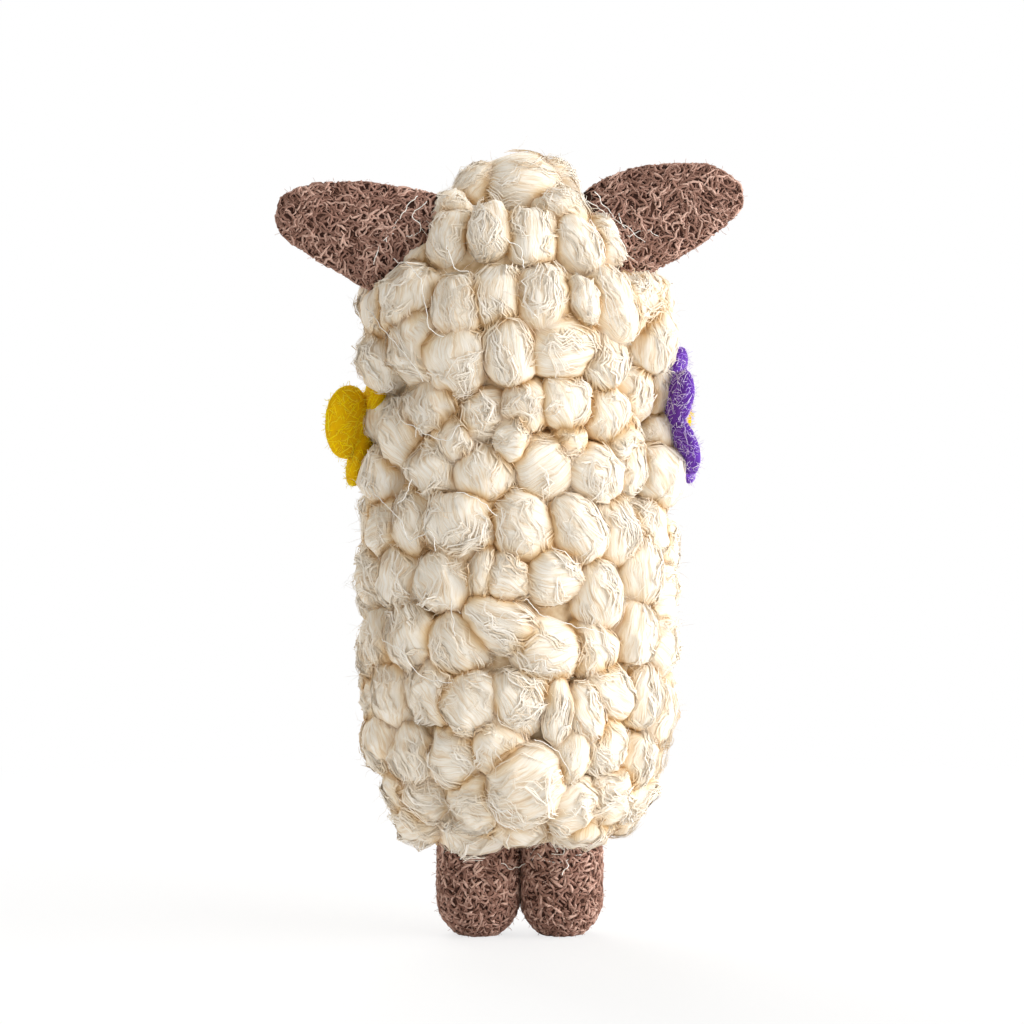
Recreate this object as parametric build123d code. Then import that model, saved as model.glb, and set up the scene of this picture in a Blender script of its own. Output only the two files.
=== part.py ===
from build123d import *
import math
import os

# A sheep figurine of felted wool that stands upright on two short hind legs. Millimetres, +Z up,
# the face towards -Y, the origin on the table under the middle of the figure.

# Heights, from the table up
leg_clear_height = 12.5
body_fleece_height = 56.5
neck_fleece_height = 7.5
head_fleece_height = 25.5
topknot_height = 8.0

# The fleece, in rows of curls round a firm core
body_half_width = 23.0
head_half_width = 22.2
fleece_depth_share = 0.92
fleece_thickness = 6.0
curl_depth = 2.2
row_groove = 2.0
body_curls = 16
crown_curls = 12
topknot_curls = 8
body_width_shares = [0.72, 0.85, 0.945, 0.99, 1, 0.985, 0.96, 0.91]
head_width_shares = [0.94, 1, 0.89, 0.63]
row_level_shares = [0, 0.2, 0.5, 0.8, 1]
lobe_place_shares = [0, 0.17, 0.5, 0.83]
lobe_rise_shares = [0, 0.72, 1, 0.72]
core_sides = 24

# Two tufts of their own: the topknot, and the tail that hangs at the hem
topknot_half_width = 11.6
topknot_width_shares = [0.86, 1, 0.94, 0.74, 0.34]
tail_length = 13.5
tail_half_width = 6.4
tail_rise = 12.5
tail_stand_out = 3.4
tail_curls = 7
tail_curl_depth = 1.3
tail_width_shares = [0.5, 0.86, 1, 0.92, 0.56]

# Felt limbs: blunt stumps, each cut flat at its end
stump_end_height = 6.0
stump_end_flat = 0.8
stump_end_power = 2.1
stump_level_shares = [0, 0.22, 0.55, 1]
limb_sides = 24
leg_radius = 5.65
leg_root_radius = 5.2
leg_root_depth = 8.5
leg_gap = 0.3
leg_pair_x = -0.3
leg_y = -0.3
arm_radius = 4.2
arm_root_radius = 3.8
arm_length = 15.0
arm_spread_share = 0.37
arm_drop = 20.5
arm_lean = 35.0

# Felt ears: thick leaves that stand out sideways
ear_thickness = 5.4
ear_root_depth = 6.0
ear_y = 5.0
ear_sides = 20
ear_station_shares = [0, 0.26, 0.52, 0.73, 0.89, 1]
ear_size_shares = [0.94, 1, 0.92, 0.76, 0.54, 0.28]
left_ear_width = 13.4
left_ear_length = 16.9
left_ear_drop = 5.1
left_ear_seat = 1.2
left_ear_tilt = 13.8
right_ear_width = 14.2
right_ear_length = 19.8
right_ear_drop = 4.1
right_ear_seat = 4.2
right_ear_tilt = 17.0

# Face: an egg of felt set in the front of the head, with bead eyes and a stitched nose and mouth
face_half_width = 12.0
face_half_height = 14.2
face_depth = 15.5
face_stand_out = 3.8
face_rise_share = 0.43
muzzle_drop = 3.2
face_sides = 28
face_depth_shares = [0, 0.07, 0.22, 0.46, 0.75, 1]
face_size_shares = [0.42, 0.6, 0.8, 0.94, 1, 0.96]
face_drop_shares = [1, 0.95, 0.8, 0.4, 0.1, 0]
bead_sides = 16
bead_levels = 6
eye_radius = 1.5
eye_level_count = 2
eye_angle = 50.0
nose_half_width = 2.6
nose_height = 2.8
nose_thickness = 0.7
nose_draw_share = 0.75
stitch_width = 0.7
stitch_thickness = 0.5
mouth_drop = 1.6
mouth_half_width = 2.0
mouth_slant = 30.0
nose_mouth_gap = 0.2

# Flowers: five puffy petals round a felt ball, tacked to each flank at the neck
flower_radius = 10.2
petal_count = 5
petal_length = 8.8
petal_half_width = 4.2
petal_thickness = 2.6
petal_cup = 24.0
petal_sides = 12
petal_draw_share = 0.78
flower_hub_radius = 2.6
flower_ball_radius = 2.1
flower_ball_seat = 0.9
flower_sink = 1.6
flower_y = -1.5
flower_drop = 0.4
yellow_flower_turn = 36.0
purple_flower_turn = 58.0

# Heights of the rows' edges, each with the half width of the fleece there
hem_z = leg_clear_height
neck_z = hem_z + body_fleece_height
head_z = neck_z + neck_fleece_height
crown_z = head_z + head_fleece_height
top_z = crown_z + topknot_height


def stations(low_z, high_z, half_width, shares):
    """Evenly spaced heights from low to high, each with its half width."""
    step = (high_z - low_z) / (len(shares) - 1)
    return [(low_z + step * i, half_width * share) for i, share in enumerate(shares)]


body_stations = stations(hem_z, neck_z, body_half_width, body_width_shares)
head_stations = stations(head_z, crown_z, head_half_width, head_width_shares)
row_edges = body_stations + head_stations
body_half_depth = body_half_width * fleece_depth_share
head_half_depth = head_half_width * fleece_depth_share


def fleece_half_width(z):
    """Half width of the fleece at a height between the hem and the crown."""
    for (low_z, low_width), (high_z, high_width) in zip(row_edges, row_edges[1:]):
        if z <= high_z:
            return low_width + (high_width - low_width) * (z - low_z) / (high_z - low_z)
    return row_edges[-1][1]


def faceted(levels):
    """A solid with flat facets from each level of points to the next, closed by the first and last level.

    The levels are one outline at different scales, so each facet is flat.
    """
    facets = [Face(Wire.make_polygon(levels[0])), Face(Wire.make_polygon(levels[-1]))]
    for low, high in zip(levels, levels[1:]):
        for i in range(len(low)):
            facets.append(Face(Wire.make_polygon([low[i - 1], low[i], high[i], high[i - 1]])))
    return Solid(Shell(facets))


def curl_points(half_width, half_depth, depth, curls, turn, scale, centre_y, z):
    """One level of a row: a lobe for each curl, drawn in where two curls meet."""
    points = []
    for curl in range(curls):
        for place, rise in zip(lobe_place_shares, lobe_rise_shares):
            angle = math.tau * (curl + place + turn) / curls
            sink = depth * (1 - rise)
            x = scale * (half_width - sink) * math.cos(angle)
            y = scale * (half_depth - sink) * math.sin(angle)
            points.append((x, centre_y + y, z))
    return points


def curl_row(low, high, curls, turn):
    """A ring of curls between two heights, bulged between the grooves that part it from its neighbours."""
    low_z, low_width = low
    high_z, high_width = high
    half_width = (low_width + high_width) / 2
    half_depth = half_width * fleece_depth_share
    levels = []
    for share in row_level_shares:
        level_width = low_width + (high_width - low_width) * share
        groove = row_groove * (1 - math.sqrt(1 - (2 * share - 1) ** 2))
        scale = (level_width - groove) / half_width
        z = low_z + (high_z - low_z) * share
        levels.append(curl_points(half_width, half_depth, curl_depth, curls, turn, scale, 0, z))
    return faceted(levels)


def tuft(half_width, depth, curls, centre_y, low_z, length, width_shares):
    """A bunch of curls that swells and closes again over its length."""
    levels = []
    for z, scale in stations(low_z, low_z + length, 1, width_shares):
        levels.append(curl_points(half_width, half_width, depth, curls, 0, scale, centre_y, z))
    return faceted(levels)


def oval_points(half_x, half_y, sides, z):
    """An oval at height z, as the corners of its facets."""
    points = []
    for side in range(sides):
        angle = math.tau * side / sides
        points.append((half_x * math.cos(angle), half_y * math.sin(angle), z))
    return points


def bead(radius):
    """A small ball on the origin, faceted, with its poles flat."""
    levels = []
    for level in range(1, bead_levels):
        angle = math.pi * level / bead_levels
        reach = radius * math.sin(angle)
        levels.append(oval_points(reach, reach, bead_sides, -radius * math.cos(angle)))
    return faceted(levels)


def core(levels):
    """The firm wool that the curls are felted on, one fleece thickness inside them."""
    ovals = []
    for z, half_width in levels:
        radius = half_width - fleece_thickness
        ovals.append(oval_points(radius, radius * fleece_depth_share, core_sides, z))
    return faceted(ovals)


def stump(radius, root_radius, length):
    """A felt limb along +Z: a blunt end, cut flat at the origin, that tapers up to its root."""
    levels = []
    for share in stump_level_shares:
        height = (stump_end_height - stump_end_flat) * share
        inward = 1 - (height + stump_end_flat) / stump_end_height
        reach = radius * (1 - inward**stump_end_power) ** (1 / stump_end_power)
        levels.append(oval_points(reach, reach, limb_sides, height))
    levels.append(oval_points(root_radius, root_radius, limb_sides, length))
    return faceted(levels)


def ear(side, visible_length, width, tilt, drop, seat):
    """A thick felt leaf from inside the head, out through the fleece to its tip."""
    length = visible_length + ear_root_depth
    run = Vector(side * math.cos(math.radians(tilt)), 0, math.sin(math.radians(tilt)))
    base_z = crown_z - drop
    base_x = side * (fleece_half_width(base_z) - seat)
    root = Vector(base_x, ear_y, base_z) - run * ear_root_depth
    across = Vector(-side * math.sin(math.radians(tilt)), 0, math.cos(math.radians(tilt)))
    levels = []
    for station, size in zip(ear_station_shares, ear_size_shares):
        levels.append(oval_points(width / 2 * size, ear_thickness / 2 * size, ear_sides, length * station))
    return Plane(origin=root, x_dir=across, z_dir=run).location * faceted(levels)


def face_station(index):
    """Centre and half sizes of the face at one of its stations, from the muzzle back."""
    y = face_depth * face_depth_shares[index] - head_half_depth - face_stand_out
    z = head_z + head_fleece_height * face_rise_share - muzzle_drop * face_drop_shares[index]
    size = face_size_shares[index]
    return y, z, face_half_width * size, face_half_height * size


def face_egg():
    """The face's egg, blunt at the muzzle."""
    levels = []
    for index in range(len(face_depth_shares)):
        y, z, half_width, half_height = face_station(index)
        oval = oval_points(half_width, half_height, face_sides, 0)
        levels.append([(x, y, z + rise) for x, rise, _ in oval])
    return faceted(levels)


def eye(side):
    """A bead sunk half its depth into the face."""
    y, z, half_width, half_height = face_station(eye_level_count)
    x = side * half_width * math.cos(math.radians(eye_angle))
    rise = half_height * math.sin(math.radians(eye_angle))
    return Pos(x, y, z + rise) * bead(eye_radius)


def pillow(points, draw_share, thickness):
    """A soft pad on the XY plane: its outline at mid height, drawn in towards both faces."""
    levels = []
    for z, scale in ((0, draw_share), (thickness / 2, 1), (thickness, draw_share)):
        levels.append([(x * scale, y * scale, z) for x, y in points])
    return faceted(levels)


def nose():
    """A three-cornered nose in satin stitch on the flat of the muzzle."""
    points = [
        (-nose_half_width, nose_height / 2),
        (nose_half_width, nose_height / 2),
        (0, -nose_height / 2),
    ]
    y, z, _, _ = face_station(0)
    lift = nose_mouth_gap + nose_height / 2
    plane = Plane(origin=(0, y, z + lift), x_dir=(1, 0, 0), z_dir=(0, -1, 0))
    return plane.location * pillow(points, nose_draw_share, nose_thickness)


def mouth():
    """Two stitches that part below a short one, like a wide Y upside down."""
    y, z, _, _ = face_station(0)
    stroke = Box(stitch_width, stitch_thickness, mouth_drop, align=(Align.CENTER, Align.MAX, Align.MAX))
    whole = Pos(0, y, z) * stroke
    half_length = mouth_half_width / math.cos(math.radians(mouth_slant))
    for side in (-1, 1):
        half = Box(half_length, stitch_thickness, stitch_width, align=(Align.MIN, Align.MAX, Align.CENTER))
        turn = mouth_slant if side > 0 else 180 - mouth_slant
        whole += Pos(0, y, z - mouth_drop) * Rot(0, turn, 0) * half
    return whole


def petals(turn):
    """Five puffy petals round a hub on the XY plane, cupped towards +Z."""
    outline = [point[:2] for point in oval_points(petal_length / 2, petal_half_width, petal_sides, 0)]
    petal = Pos(petal_length / 2, 0, 0) * pillow(outline, petal_draw_share, petal_thickness)
    petal = Pos(flower_radius - petal_length, 0, 0) * Rot(0, -petal_cup, 0) * petal
    hub = [oval_points(flower_hub_radius, flower_hub_radius, bead_sides, z) for z in (0, petal_thickness)]
    whole = faceted(hub)
    for index in range(petal_count):
        whole += Rot(0, 0, turn + index * 360 / petal_count) * petal
    return whole


def flower_ball():
    """The felt ball, seated in the hub."""
    return Pos(0, 0, petal_thickness + flower_ball_radius - flower_ball_seat) * bead(flower_ball_radius)


def on_flank(side, piece):
    """Sets a flower against one flank, its face outwards."""
    z = (neck_z + head_z) / 2 - flower_drop
    x = side * (fleece_half_width(z) - flower_sink)
    plane = Plane(origin=(x, flower_y, z), x_dir=(0, 0, 1), z_dir=(side, 0, 0))
    return plane.location * piece


def cut(piece, tools):
    """The piece with each tool that reaches it taken away."""
    for tool in tools:
        piece = piece - tool
    return piece


def trims_between(pieces, low_z, high_z):
    """The pieces that reach into a band of heights."""
    boxes = [(piece, piece.bounding_box()) for piece in pieces]
    return [piece for piece, box in boxes if box.min.Z < high_z and box.max.Z > low_z]


body_core_full = core(body_stations)
head_core = core([body_stations[-1], *head_stations])

leg_length = hem_z + leg_root_depth
leg_x = leg_radius + leg_gap / 2
hind_legs = {
    "left": Pos(leg_pair_x + leg_x, leg_y, 0) * stump(leg_radius, leg_root_radius, leg_length),
    "right": Pos(leg_pair_x - leg_x, leg_y, 0) * stump(leg_radius, leg_root_radius, leg_length),
}
body_core = cut(body_core_full, hind_legs.values())

arms = {}
for name, side in (("left", 1), ("right", -1)):
    lean = math.radians(arm_lean)
    plane = Plane(
        origin=(side * body_half_width * arm_spread_share, -body_half_depth, neck_z - arm_drop),
        x_dir=(1, 0, 0),
        z_dir=(0, math.sin(lean), math.cos(lean)),
    )
    arm = plane.location * stump(arm_radius, arm_root_radius, arm_length)
    arms[name] = cut(arm, [body_core_full])

left_ear = ear(1, left_ear_length, left_ear_width, left_ear_tilt, left_ear_drop, left_ear_seat)
right_ear = ear(-1, right_ear_length, right_ear_width, right_ear_tilt, right_ear_drop, right_ear_seat)
ears = {"left": cut(left_ear, [head_core]), "right": cut(right_ear, [head_core])}

eyes = {"left": eye(1), "right": eye(-1)}
face = cut(face_egg(), [head_core, *eyes.values()])

balls = {"yellow": on_flank(1, flower_ball()), "purple": on_flank(-1, flower_ball())}
flowers = {
    "yellow": cut(on_flank(1, petals(yellow_flower_turn)), [balls["yellow"]]),
    "purple": cut(on_flank(-1, petals(purple_flower_turn)), [balls["purple"]]),
}

tail_y = body_half_depth + tail_stand_out - tail_half_width
tail_low_z = hem_z + tail_rise - tail_length
tail = tuft(tail_half_width, tail_curl_depth, tail_curls, tail_y, tail_low_z, tail_length, tail_width_shares)
tail = cut(tail, [body_core_full])

topknot = tuft(
    topknot_half_width, curl_depth, topknot_curls, 0, crown_z, topknot_height, topknot_width_shares
)
topknot = cut(topknot, ears.values())

# Every row of the fleece, from the hem up, less its core and what passes through it
trims = [*hind_legs.values(), *arms.values(), *ears.values(), face, tail, *flowers.values()]
body_rows = len(body_stations) - 1
rows = {}
for index, (low, high) in enumerate(zip(row_edges, row_edges[1:])):
    if index < body_rows:
        name = f"body_curl_row_{index + 1}"
    elif index == body_rows:
        name = "neck_curl_row"
    else:
        name = f"head_curl_row_{index - body_rows}"
    curls = crown_curls if high[0] == crown_z else body_curls
    row = curl_row(low, high, curls, index % 2 / 2)
    row = cut(row, [body_core_full if index < body_rows else head_core])
    rows[name] = cut(row, trims_between(trims, low[0], high[0]))

nodes = {
    "body_core": body_core,
    "head_core": head_core,
    **rows,
    "topknot": topknot,
    "tail": tail,
    **{f"hind_leg_{name}": piece for name, piece in hind_legs.items()},
    **{f"front_leg_{name}": piece for name, piece in arms.items()},
    **{f"ear_{name}": piece for name, piece in ears.items()},
    "face": face,
    **{f"eye_{name}": piece for name, piece in eyes.items()},
    "nose": nose(),
    "mouth": mouth(),
    **{f"{name}_flower_petals": piece for name, piece in flowers.items()},
    **{f"{name}_flower_centre": piece for name, piece in balls.items()},
}

os.makedirs("parts", exist_ok=True)
for name, piece in nodes.items():
    export_step(piece, f"parts/{name}.step")
    print(name, round(piece.volume, 1), len(piece.faces()))
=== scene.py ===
import math
import random

import bpy
import numpy as np
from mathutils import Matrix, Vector


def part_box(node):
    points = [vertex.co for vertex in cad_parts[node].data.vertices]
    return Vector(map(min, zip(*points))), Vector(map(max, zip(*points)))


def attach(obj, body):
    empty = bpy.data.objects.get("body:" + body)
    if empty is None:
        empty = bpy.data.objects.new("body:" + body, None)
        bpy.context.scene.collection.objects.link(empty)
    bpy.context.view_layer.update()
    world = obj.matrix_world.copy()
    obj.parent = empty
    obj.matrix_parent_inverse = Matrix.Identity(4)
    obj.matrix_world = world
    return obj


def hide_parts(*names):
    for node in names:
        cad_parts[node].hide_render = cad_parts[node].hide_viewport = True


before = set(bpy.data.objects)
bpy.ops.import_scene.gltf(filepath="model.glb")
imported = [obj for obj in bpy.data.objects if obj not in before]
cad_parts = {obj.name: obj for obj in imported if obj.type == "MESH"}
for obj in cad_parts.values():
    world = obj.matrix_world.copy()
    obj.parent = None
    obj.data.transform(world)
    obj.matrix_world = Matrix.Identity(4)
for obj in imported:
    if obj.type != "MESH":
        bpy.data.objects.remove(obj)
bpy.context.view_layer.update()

# The view. The sheep stands with its back to the camera, which looks down on it a little through a long
# lens. The picture is 142 mm wide at the sheep.
mm = 0.001
view_target = Vector((0.8, 0, 59.3)) * mm
view_distance = 600 * mm
view_elevation = math.radians(4)
view_frame_width = 142.5 * mm
camera_data = bpy.data.cameras.new("camera")
camera_data.sensor_width = 36
camera_data.lens = camera_data.sensor_width * view_distance / view_frame_width
camera_data.clip_start = 10 * mm


def in_scene(name, data):
    """A new object of this data."""
    item = bpy.data.objects.new(name, data)
    bpy.context.scene.collection.objects.link(item)
    return item


camera = in_scene("camera", camera_data)
towards_camera = Vector((0, math.cos(view_elevation), math.sin(view_elevation)))
camera.location = view_target + towards_camera * view_distance
camera.rotation_euler = towards_camera.to_track_quat("Z", "Y").to_euler()
bpy.context.scene.camera = camera

# The fleece. Locks of cream wool are rolled into curls about 8 mm across and felted in rows onto a firm
# core. Each row is a piece of its own, from the hem over the legs to the crown. The outline gives a height
# and the half width there.
fleece_outline = [
    (11.4, 4), (12.2, 10.4), (13.9, 15.3), (16.4, 17.3), (19.2, 19.1), (23.4, 20.7), (30.3, 22.2),
    (35.9, 22.8), (44.3, 23), (52.6, 22.6), (61, 22.1), (67.9, 20.9), (72.1, 20.5), (77.7, 20.9),
    (83.2, 22.1), (88.8, 22.1), (90.9, 21.1), (94.4, 19), (100, 15.5), (104.1, 11.7), (106, 10),
    (107.6, 8.3), (109, 5.6), (109.9, 1.5),
]
fleece_depth_share = 0.92
row_nodes = [f"body_curl_row_{i}" for i in range(1, 8)] + ["neck_curl_row"]
row_nodes += [f"head_curl_row_{i}" for i in range(1, 4)] + ["topknot"]
row_floors = [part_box(node)[0].z for node in row_nodes]


def fleece_half_width(z):
    heights, half_widths = zip(*fleece_outline)
    return np.interp(z / mm, heights, half_widths) * mm


def outward(point):
    """The direction that the fleece faces at a point on its outline."""
    step = 1 * mm
    slope = (fleece_half_width(point.z + step) - fleece_half_width(point.z - step)) / (2 * step)
    reach = math.hypot(point.x, point.y / fleece_depth_share)
    return Vector((point.x / reach, point.y / reach / fleece_depth_share**2, -slope)).normalized()


def on_back(x, z):
    """The point of the fleece behind this place in the picture, x mm left of the middle and z mm up."""
    seen = Vector((x, 0, z)) * mm
    to_lens = camera.location - seen
    point = seen.copy()
    for _ in range(12):
        width = fleece_half_width(point.z)
        depth = fleece_depth_share * math.sqrt(max(width**2 - point.x**2, 0))
        point = seen + to_lens * (0.5 * (depth + point.y) / to_lens.y)
    return point


class Loom:
    """A geometry node tree under construction, with short calls for the nodes that it uses most."""

    def __init__(self, name, inputs):
        self.tree = bpy.data.node_groups.new(name, "GeometryNodeTree")
        for label, kind in inputs.items():
            self.tree.interface.new_socket(label, in_out="INPUT", socket_type=f"NodeSocket{kind}")
        self.tree.interface.new_socket("Wool", in_out="OUTPUT", socket_type="NodeSocketGeometry")
        self.given = self.tree.nodes.new("NodeGroupInput").outputs

    def add(self, kind, inputs=None, out=0, **settings):
        node = self.tree.nodes.new(kind)
        for label, value in settings.items():
            setattr(node, label, value)
        for key, value in (inputs or {}).items():
            if isinstance(value, bpy.types.NodeSocket):
                self.tree.links.new(value, node.inputs[key])
            else:
                node.inputs[key].default_value = value
        return node.outputs[out]

    def maths(self, operation, *values):
        return self.add("ShaderNodeMath", dict(enumerate(values)), operation=operation)

    def vectors(self, operation, *values, out=0):
        return self.add("ShaderNodeVectorMath", dict(enumerate(values)), out, operation=operation)

    def scaled(self, vector, factor):
        return self.add("ShaderNodeVectorMath", {0: vector, 3: factor}, operation="SCALE")

    def total(self, first, *others):
        for other in others:
            first = self.vectors("ADD", first, other)
        return first

    def product(self, first, *others):
        for other in others:
            first = self.maths("MULTIPLY", first, other)
        return first

    def plus(self, first, *others):
        for other in others:
            first = self.maths("ADD", first, other)
        return first

    def vector(self, x, y, z):
        return self.add("ShaderNodeCombineXYZ", {0: x, 1: y, 2: z})

    def parts(self, vector):
        return [self.add("ShaderNodeSeparateXYZ", {0: vector}, i) for i in range(3)]

    def here(self):
        return self.add("GeometryNodeInputPosition")

    def moved(self, geometry, place):
        return self.add("GeometryNodeSetPosition", {0: geometry, 2: place})

    def read(self, name, kind="FLOAT"):
        return self.add("GeometryNodeInputNamedAttribute", {0: name}, data_type=kind)

    def read_vector(self, name):
        return self.read(name, "FLOAT_VECTOR")

    def store(self, geometry, name, value, kind="FLOAT"):
        return self.add("GeometryNodeStoreNamedAttribute", {0: geometry, 2: name, 3: value}, data_type=kind)

    def store_vector(self, geometry, name, value):
        return self.store(geometry, name, value, "FLOAT_VECTOR")

    def chance(self, low, high, seed):
        """A random number for each element."""
        number = self.maths("ADD", self.given["Seed"], seed)
        return self.add("FunctionNodeRandomValue", {2: low, 3: high, 8: number}, 1, data_type="FLOAT")

    def chance_vector(self, seed):
        """A random vector for each element, each part of it from -1 to 1."""
        number = self.maths("ADD", self.given["Seed"], seed)
        ends = {0: (-1, -1, -1), 1: (1, 1, 1), 8: number}
        return self.add("FunctionNodeRandomValue", ends, 0, data_type="FLOAT_VECTOR")

    def drift(self, place, detail=1.0):
        """Smooth noise at a place, each part of it from about -1 to 1."""
        noise = self.add("ShaderNodeTexNoise", {"Vector": place, "Scale": 1.0, "Detail": detail}, 1)
        return self.vectors("MULTIPLY_ADD", noise, (2, 2, 2), (-1, -1, -1))

    def copies(self, points, count):
        return self.add("GeometryNodeDuplicateElements", {0: points, 2: count}, domain="POINT")

    def strands(self, points, steps, first_number):
        """A straight curve with this many points for each point given, to be moved to its place."""
        number = self.maths("ADD", self.add("GeometryNodeInputIndex"), first_number)
        points = self.store(points, "strand", number)
        line = self.add("GeometryNodeCurvePrimitiveLine", {0: (0, 0, 0), 1: (mm, 0, 0)})
        line = self.add("GeometryNodeResampleCurve", {0: line, 2: steps})
        laid = self.add("GeometryNodeInstanceOnPoints", {0: points, 2: line})
        return self.add("GeometryNodeRealizeInstances", {0: laid})

    def spun(self, curves, radius, flatness=1.0):
        """The curves as solid fibres with three sides. Flat ones lie with one edge towards "facing"."""
        curves = self.store(curves, "run", self.add("GeometryNodeSplineParameter"))
        ring = self.add("GeometryNodeCurvePrimitiveCircle", {0: 3, 4: 1.0})
        ring = self.store(ring, "round", self.add("GeometryNodeSplineParameter"))
        if flatness < 1:
            facing = self.read_vector("facing")
            curves = self.add("GeometryNodeSetCurveNormal", {0: curves, 2: facing}, mode="FREE")
            place = self.here()
            # The two edges on the side away from "facing" are marked, to be painted as shade.
            ring = self.store(ring, "edge", self.maths("LESS_THAN", self.parts(place)[0], 0.0))
            ring = self.moved(ring, self.vectors("MULTIPLY", place, (flatness, 1, 1)))
        # In Blender 4.5 the scale input takes the place of the curve's own radius.
        return self.add("GeometryNodeCurveToMesh", {0: curves, 1: ring, 2: radius, 3: True})

    def join(self, *parts):
        joined = self.tree.nodes.new("GeometryNodeJoinGeometry")
        for part in parts:
            self.tree.links.new(part, joined.inputs[0])
        return joined.outputs[0]

    def finish(self, geometry, material):
        geometry = self.add("GeometryNodeRealizeInstances", {0: geometry})
        geometry = self.add("GeometryNodeSetMaterial", {0: geometry, 2: material})
        self.tree.links.new(geometry, self.tree.nodes.new("NodeGroupOutput").inputs[0])
        return self.tree


def dress(mesh, name, tree, **values):
    """The mesh that a tree makes of this one, as an object of its own."""
    source = in_scene(name, mesh)
    modifier = source.modifiers.new(name, "NODES")
    modifier.node_group = tree
    sockets = {item.name: item.identifier for item in tree.interface.items_tree if item.in_out == "INPUT"}
    for label, value in values.items():
        modifier[sockets[label.replace("_", " ")]] = value
    seen = source.evaluated_get(bpy.context.evaluated_depsgraph_get())
    finished = bpy.data.meshes.new_from_object(seen)
    source.modifiers.clear()
    source.data = finished
    return source


def lay_bake_map(mesh, floors):
    """Gives every ball, fibre and hair its own small cell of a map, so that its colours can be baked.

    The floors part the cells of the kinds: the lowest strand number of each kind, and where its cells end.
    """
    def values_of(name):
        values = np.zeros(len(mesh.vertices), np.float32)
        mesh.attributes[name].data.foreach_get("value", values)
        return values

    number, run, round_share = (values_of(name) for name in ("strand", "run", "round"))
    corners = np.zeros(len(mesh.loops), np.int32)
    mesh.loops.foreach_get("vertex_index", corners)
    face_of = np.repeat(np.arange(len(mesh.polygons)), [face.loop_total for face in mesh.polygons])
    u, v, number = round_share[corners], run[corners], number[corners]
    widest = np.zeros(len(mesh.polygons))
    np.maximum.at(widest, face_of, u)
    u = np.where((widest[face_of] > 0.6) & (u < 0.3), u + 1, u) / 1.4
    places = np.zeros((len(corners), 2))
    low = 0.0
    for kind, (floor, high) in enumerate(floors):
        ceiling = floors[kind + 1][0] if kind + 1 < len(floors) else 1e9
        chosen = (number >= floor) & (number < ceiling)
        _, cell = np.unique(number[chosen], return_inverse=True)
        columns = max(1, math.ceil(math.sqrt((cell.max(initial=0) + 1) * 2)))
        rows = cell.max(initial=0) // columns + 1
        places[chosen, 0] = (cell % columns + 0.1 + 0.8 * u[chosen]) / columns
        places[chosen, 1] = low + (cell // columns + 0.1 + 0.8 * v[chosen]) / rows * (high - low)
        low = high
    mesh.uv_layers.new(name="OFBake").data.foreach_set("uv", places.ravel())


def new_finish(name, roughness, specular, sheen=0.0):
    """A new material, with its shader."""
    material = bpy.data.materials.new(name)
    material.use_nodes = True
    shader = material.node_tree.nodes["Principled BSDF"]
    shader.inputs["Roughness"].default_value = roughness
    shader.inputs["Specular IOR Level"].default_value = specular
    shader.inputs["Sheen Weight"].default_value = sheen
    return material, shader


def on_object(tree):
    return tree.nodes.new("ShaderNodeTexCoord").outputs["Object"]


def colour_steps(tree, value, steps):
    """A colour that runs through these steps, each a place from 0 to 1 with its colour."""
    ramp = tree.nodes.new("ShaderNodeValToRGB")
    while len(ramp.color_ramp.elements) < len(steps):
        ramp.color_ramp.elements.new(0.5)
    for element, (place, colour) in zip(ramp.color_ramp.elements, steps):
        element.position = place
        element.color = (*colour, 1)
    tree.links.new(value, ramp.inputs[0])
    return ramp.outputs[0]


def surface_value(tree, name):
    node = tree.nodes.new("ShaderNodeAttribute")
    node.attribute_name = name
    return node.outputs["Fac"]


def blend_colours(tree, share, first, second):
    node = tree.nodes.new("ShaderNodeMix")
    node.data_type = "RGBA"
    for socket, value in ((node.inputs[0], share), (node.inputs[6], first), (node.inputs[7], second)):
        if isinstance(value, bpy.types.NodeSocket):
            tree.links.new(value, socket)
        else:
            socket.default_value = (*value, 1)
    return node.outputs[2]


def shader_noise(tree, vector, scale, detail=2.0, stretch=(1, 1, 1), distortion=0.0):
    """Smooth noise from 0 to 1 over a vector that is stretched first."""
    stretched = tree.nodes.new("ShaderNodeVectorMath")
    stretched.operation = "MULTIPLY"
    stretched.inputs[1].default_value = stretch
    tree.links.new(vector, stretched.inputs[0])
    noise = tree.nodes.new("ShaderNodeTexNoise")
    noise.inputs["Scale"].default_value = scale
    noise.inputs["Detail"].default_value = detail
    noise.inputs["Distortion"].default_value = distortion
    tree.links.new(stretched.outputs[0], noise.inputs["Vector"])
    return noise.outputs["Fac"]


def shader_maths(tree, operation, *values):
    node = tree.nodes.new("ShaderNodeMath")
    node.operation = operation
    for socket, value in zip(node.inputs, values):
        if isinstance(value, bpy.types.NodeSocket):
            tree.links.new(value, socket)
        else:
            socket.default_value = value
    return node.outputs[0]


# The wool reads "grain", a fibre's place in the pattern of its lock: round the lock in its first two parts,
# along it in its third. Streaks run along the fibres. Shade is painted into the wool's colour: tan in the
# creases between locks, more so in some patches than in others, and on the edges of the fibres.
painted_edge_shade = (0.62, 0.45, 0.28)
edge_shade_strength = 0.2
least_crease_shade = 0.4
patch_scale = 150.0
patch_contrast, patch_start = 4.5, -1.45
streak_height = 0.2 * mm
cream, shader = new_finish("cream wool", 0.9, specular=0.08)
nodes = cream.node_tree
grain = nodes.nodes.new("ShaderNodeAttribute")
grain.attribute_name = "grain"
broad = shader_noise(nodes, grain.outputs["Vector"], 5.0, 2.0, stretch=(1, 1, 0.22), distortion=0.4)
fine = shader_noise(nodes, grain.outputs["Vector"], 16.0, 3.0, stretch=(1, 1, 0.14), distortion=0.7)
streak = shader_maths(nodes, "MULTIPLY", shader_maths(nodes, "ADD", broad, fine), 0.5)
lifted = shader_maths(nodes, "ADD", streak, surface_value(nodes, "tone"))
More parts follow.
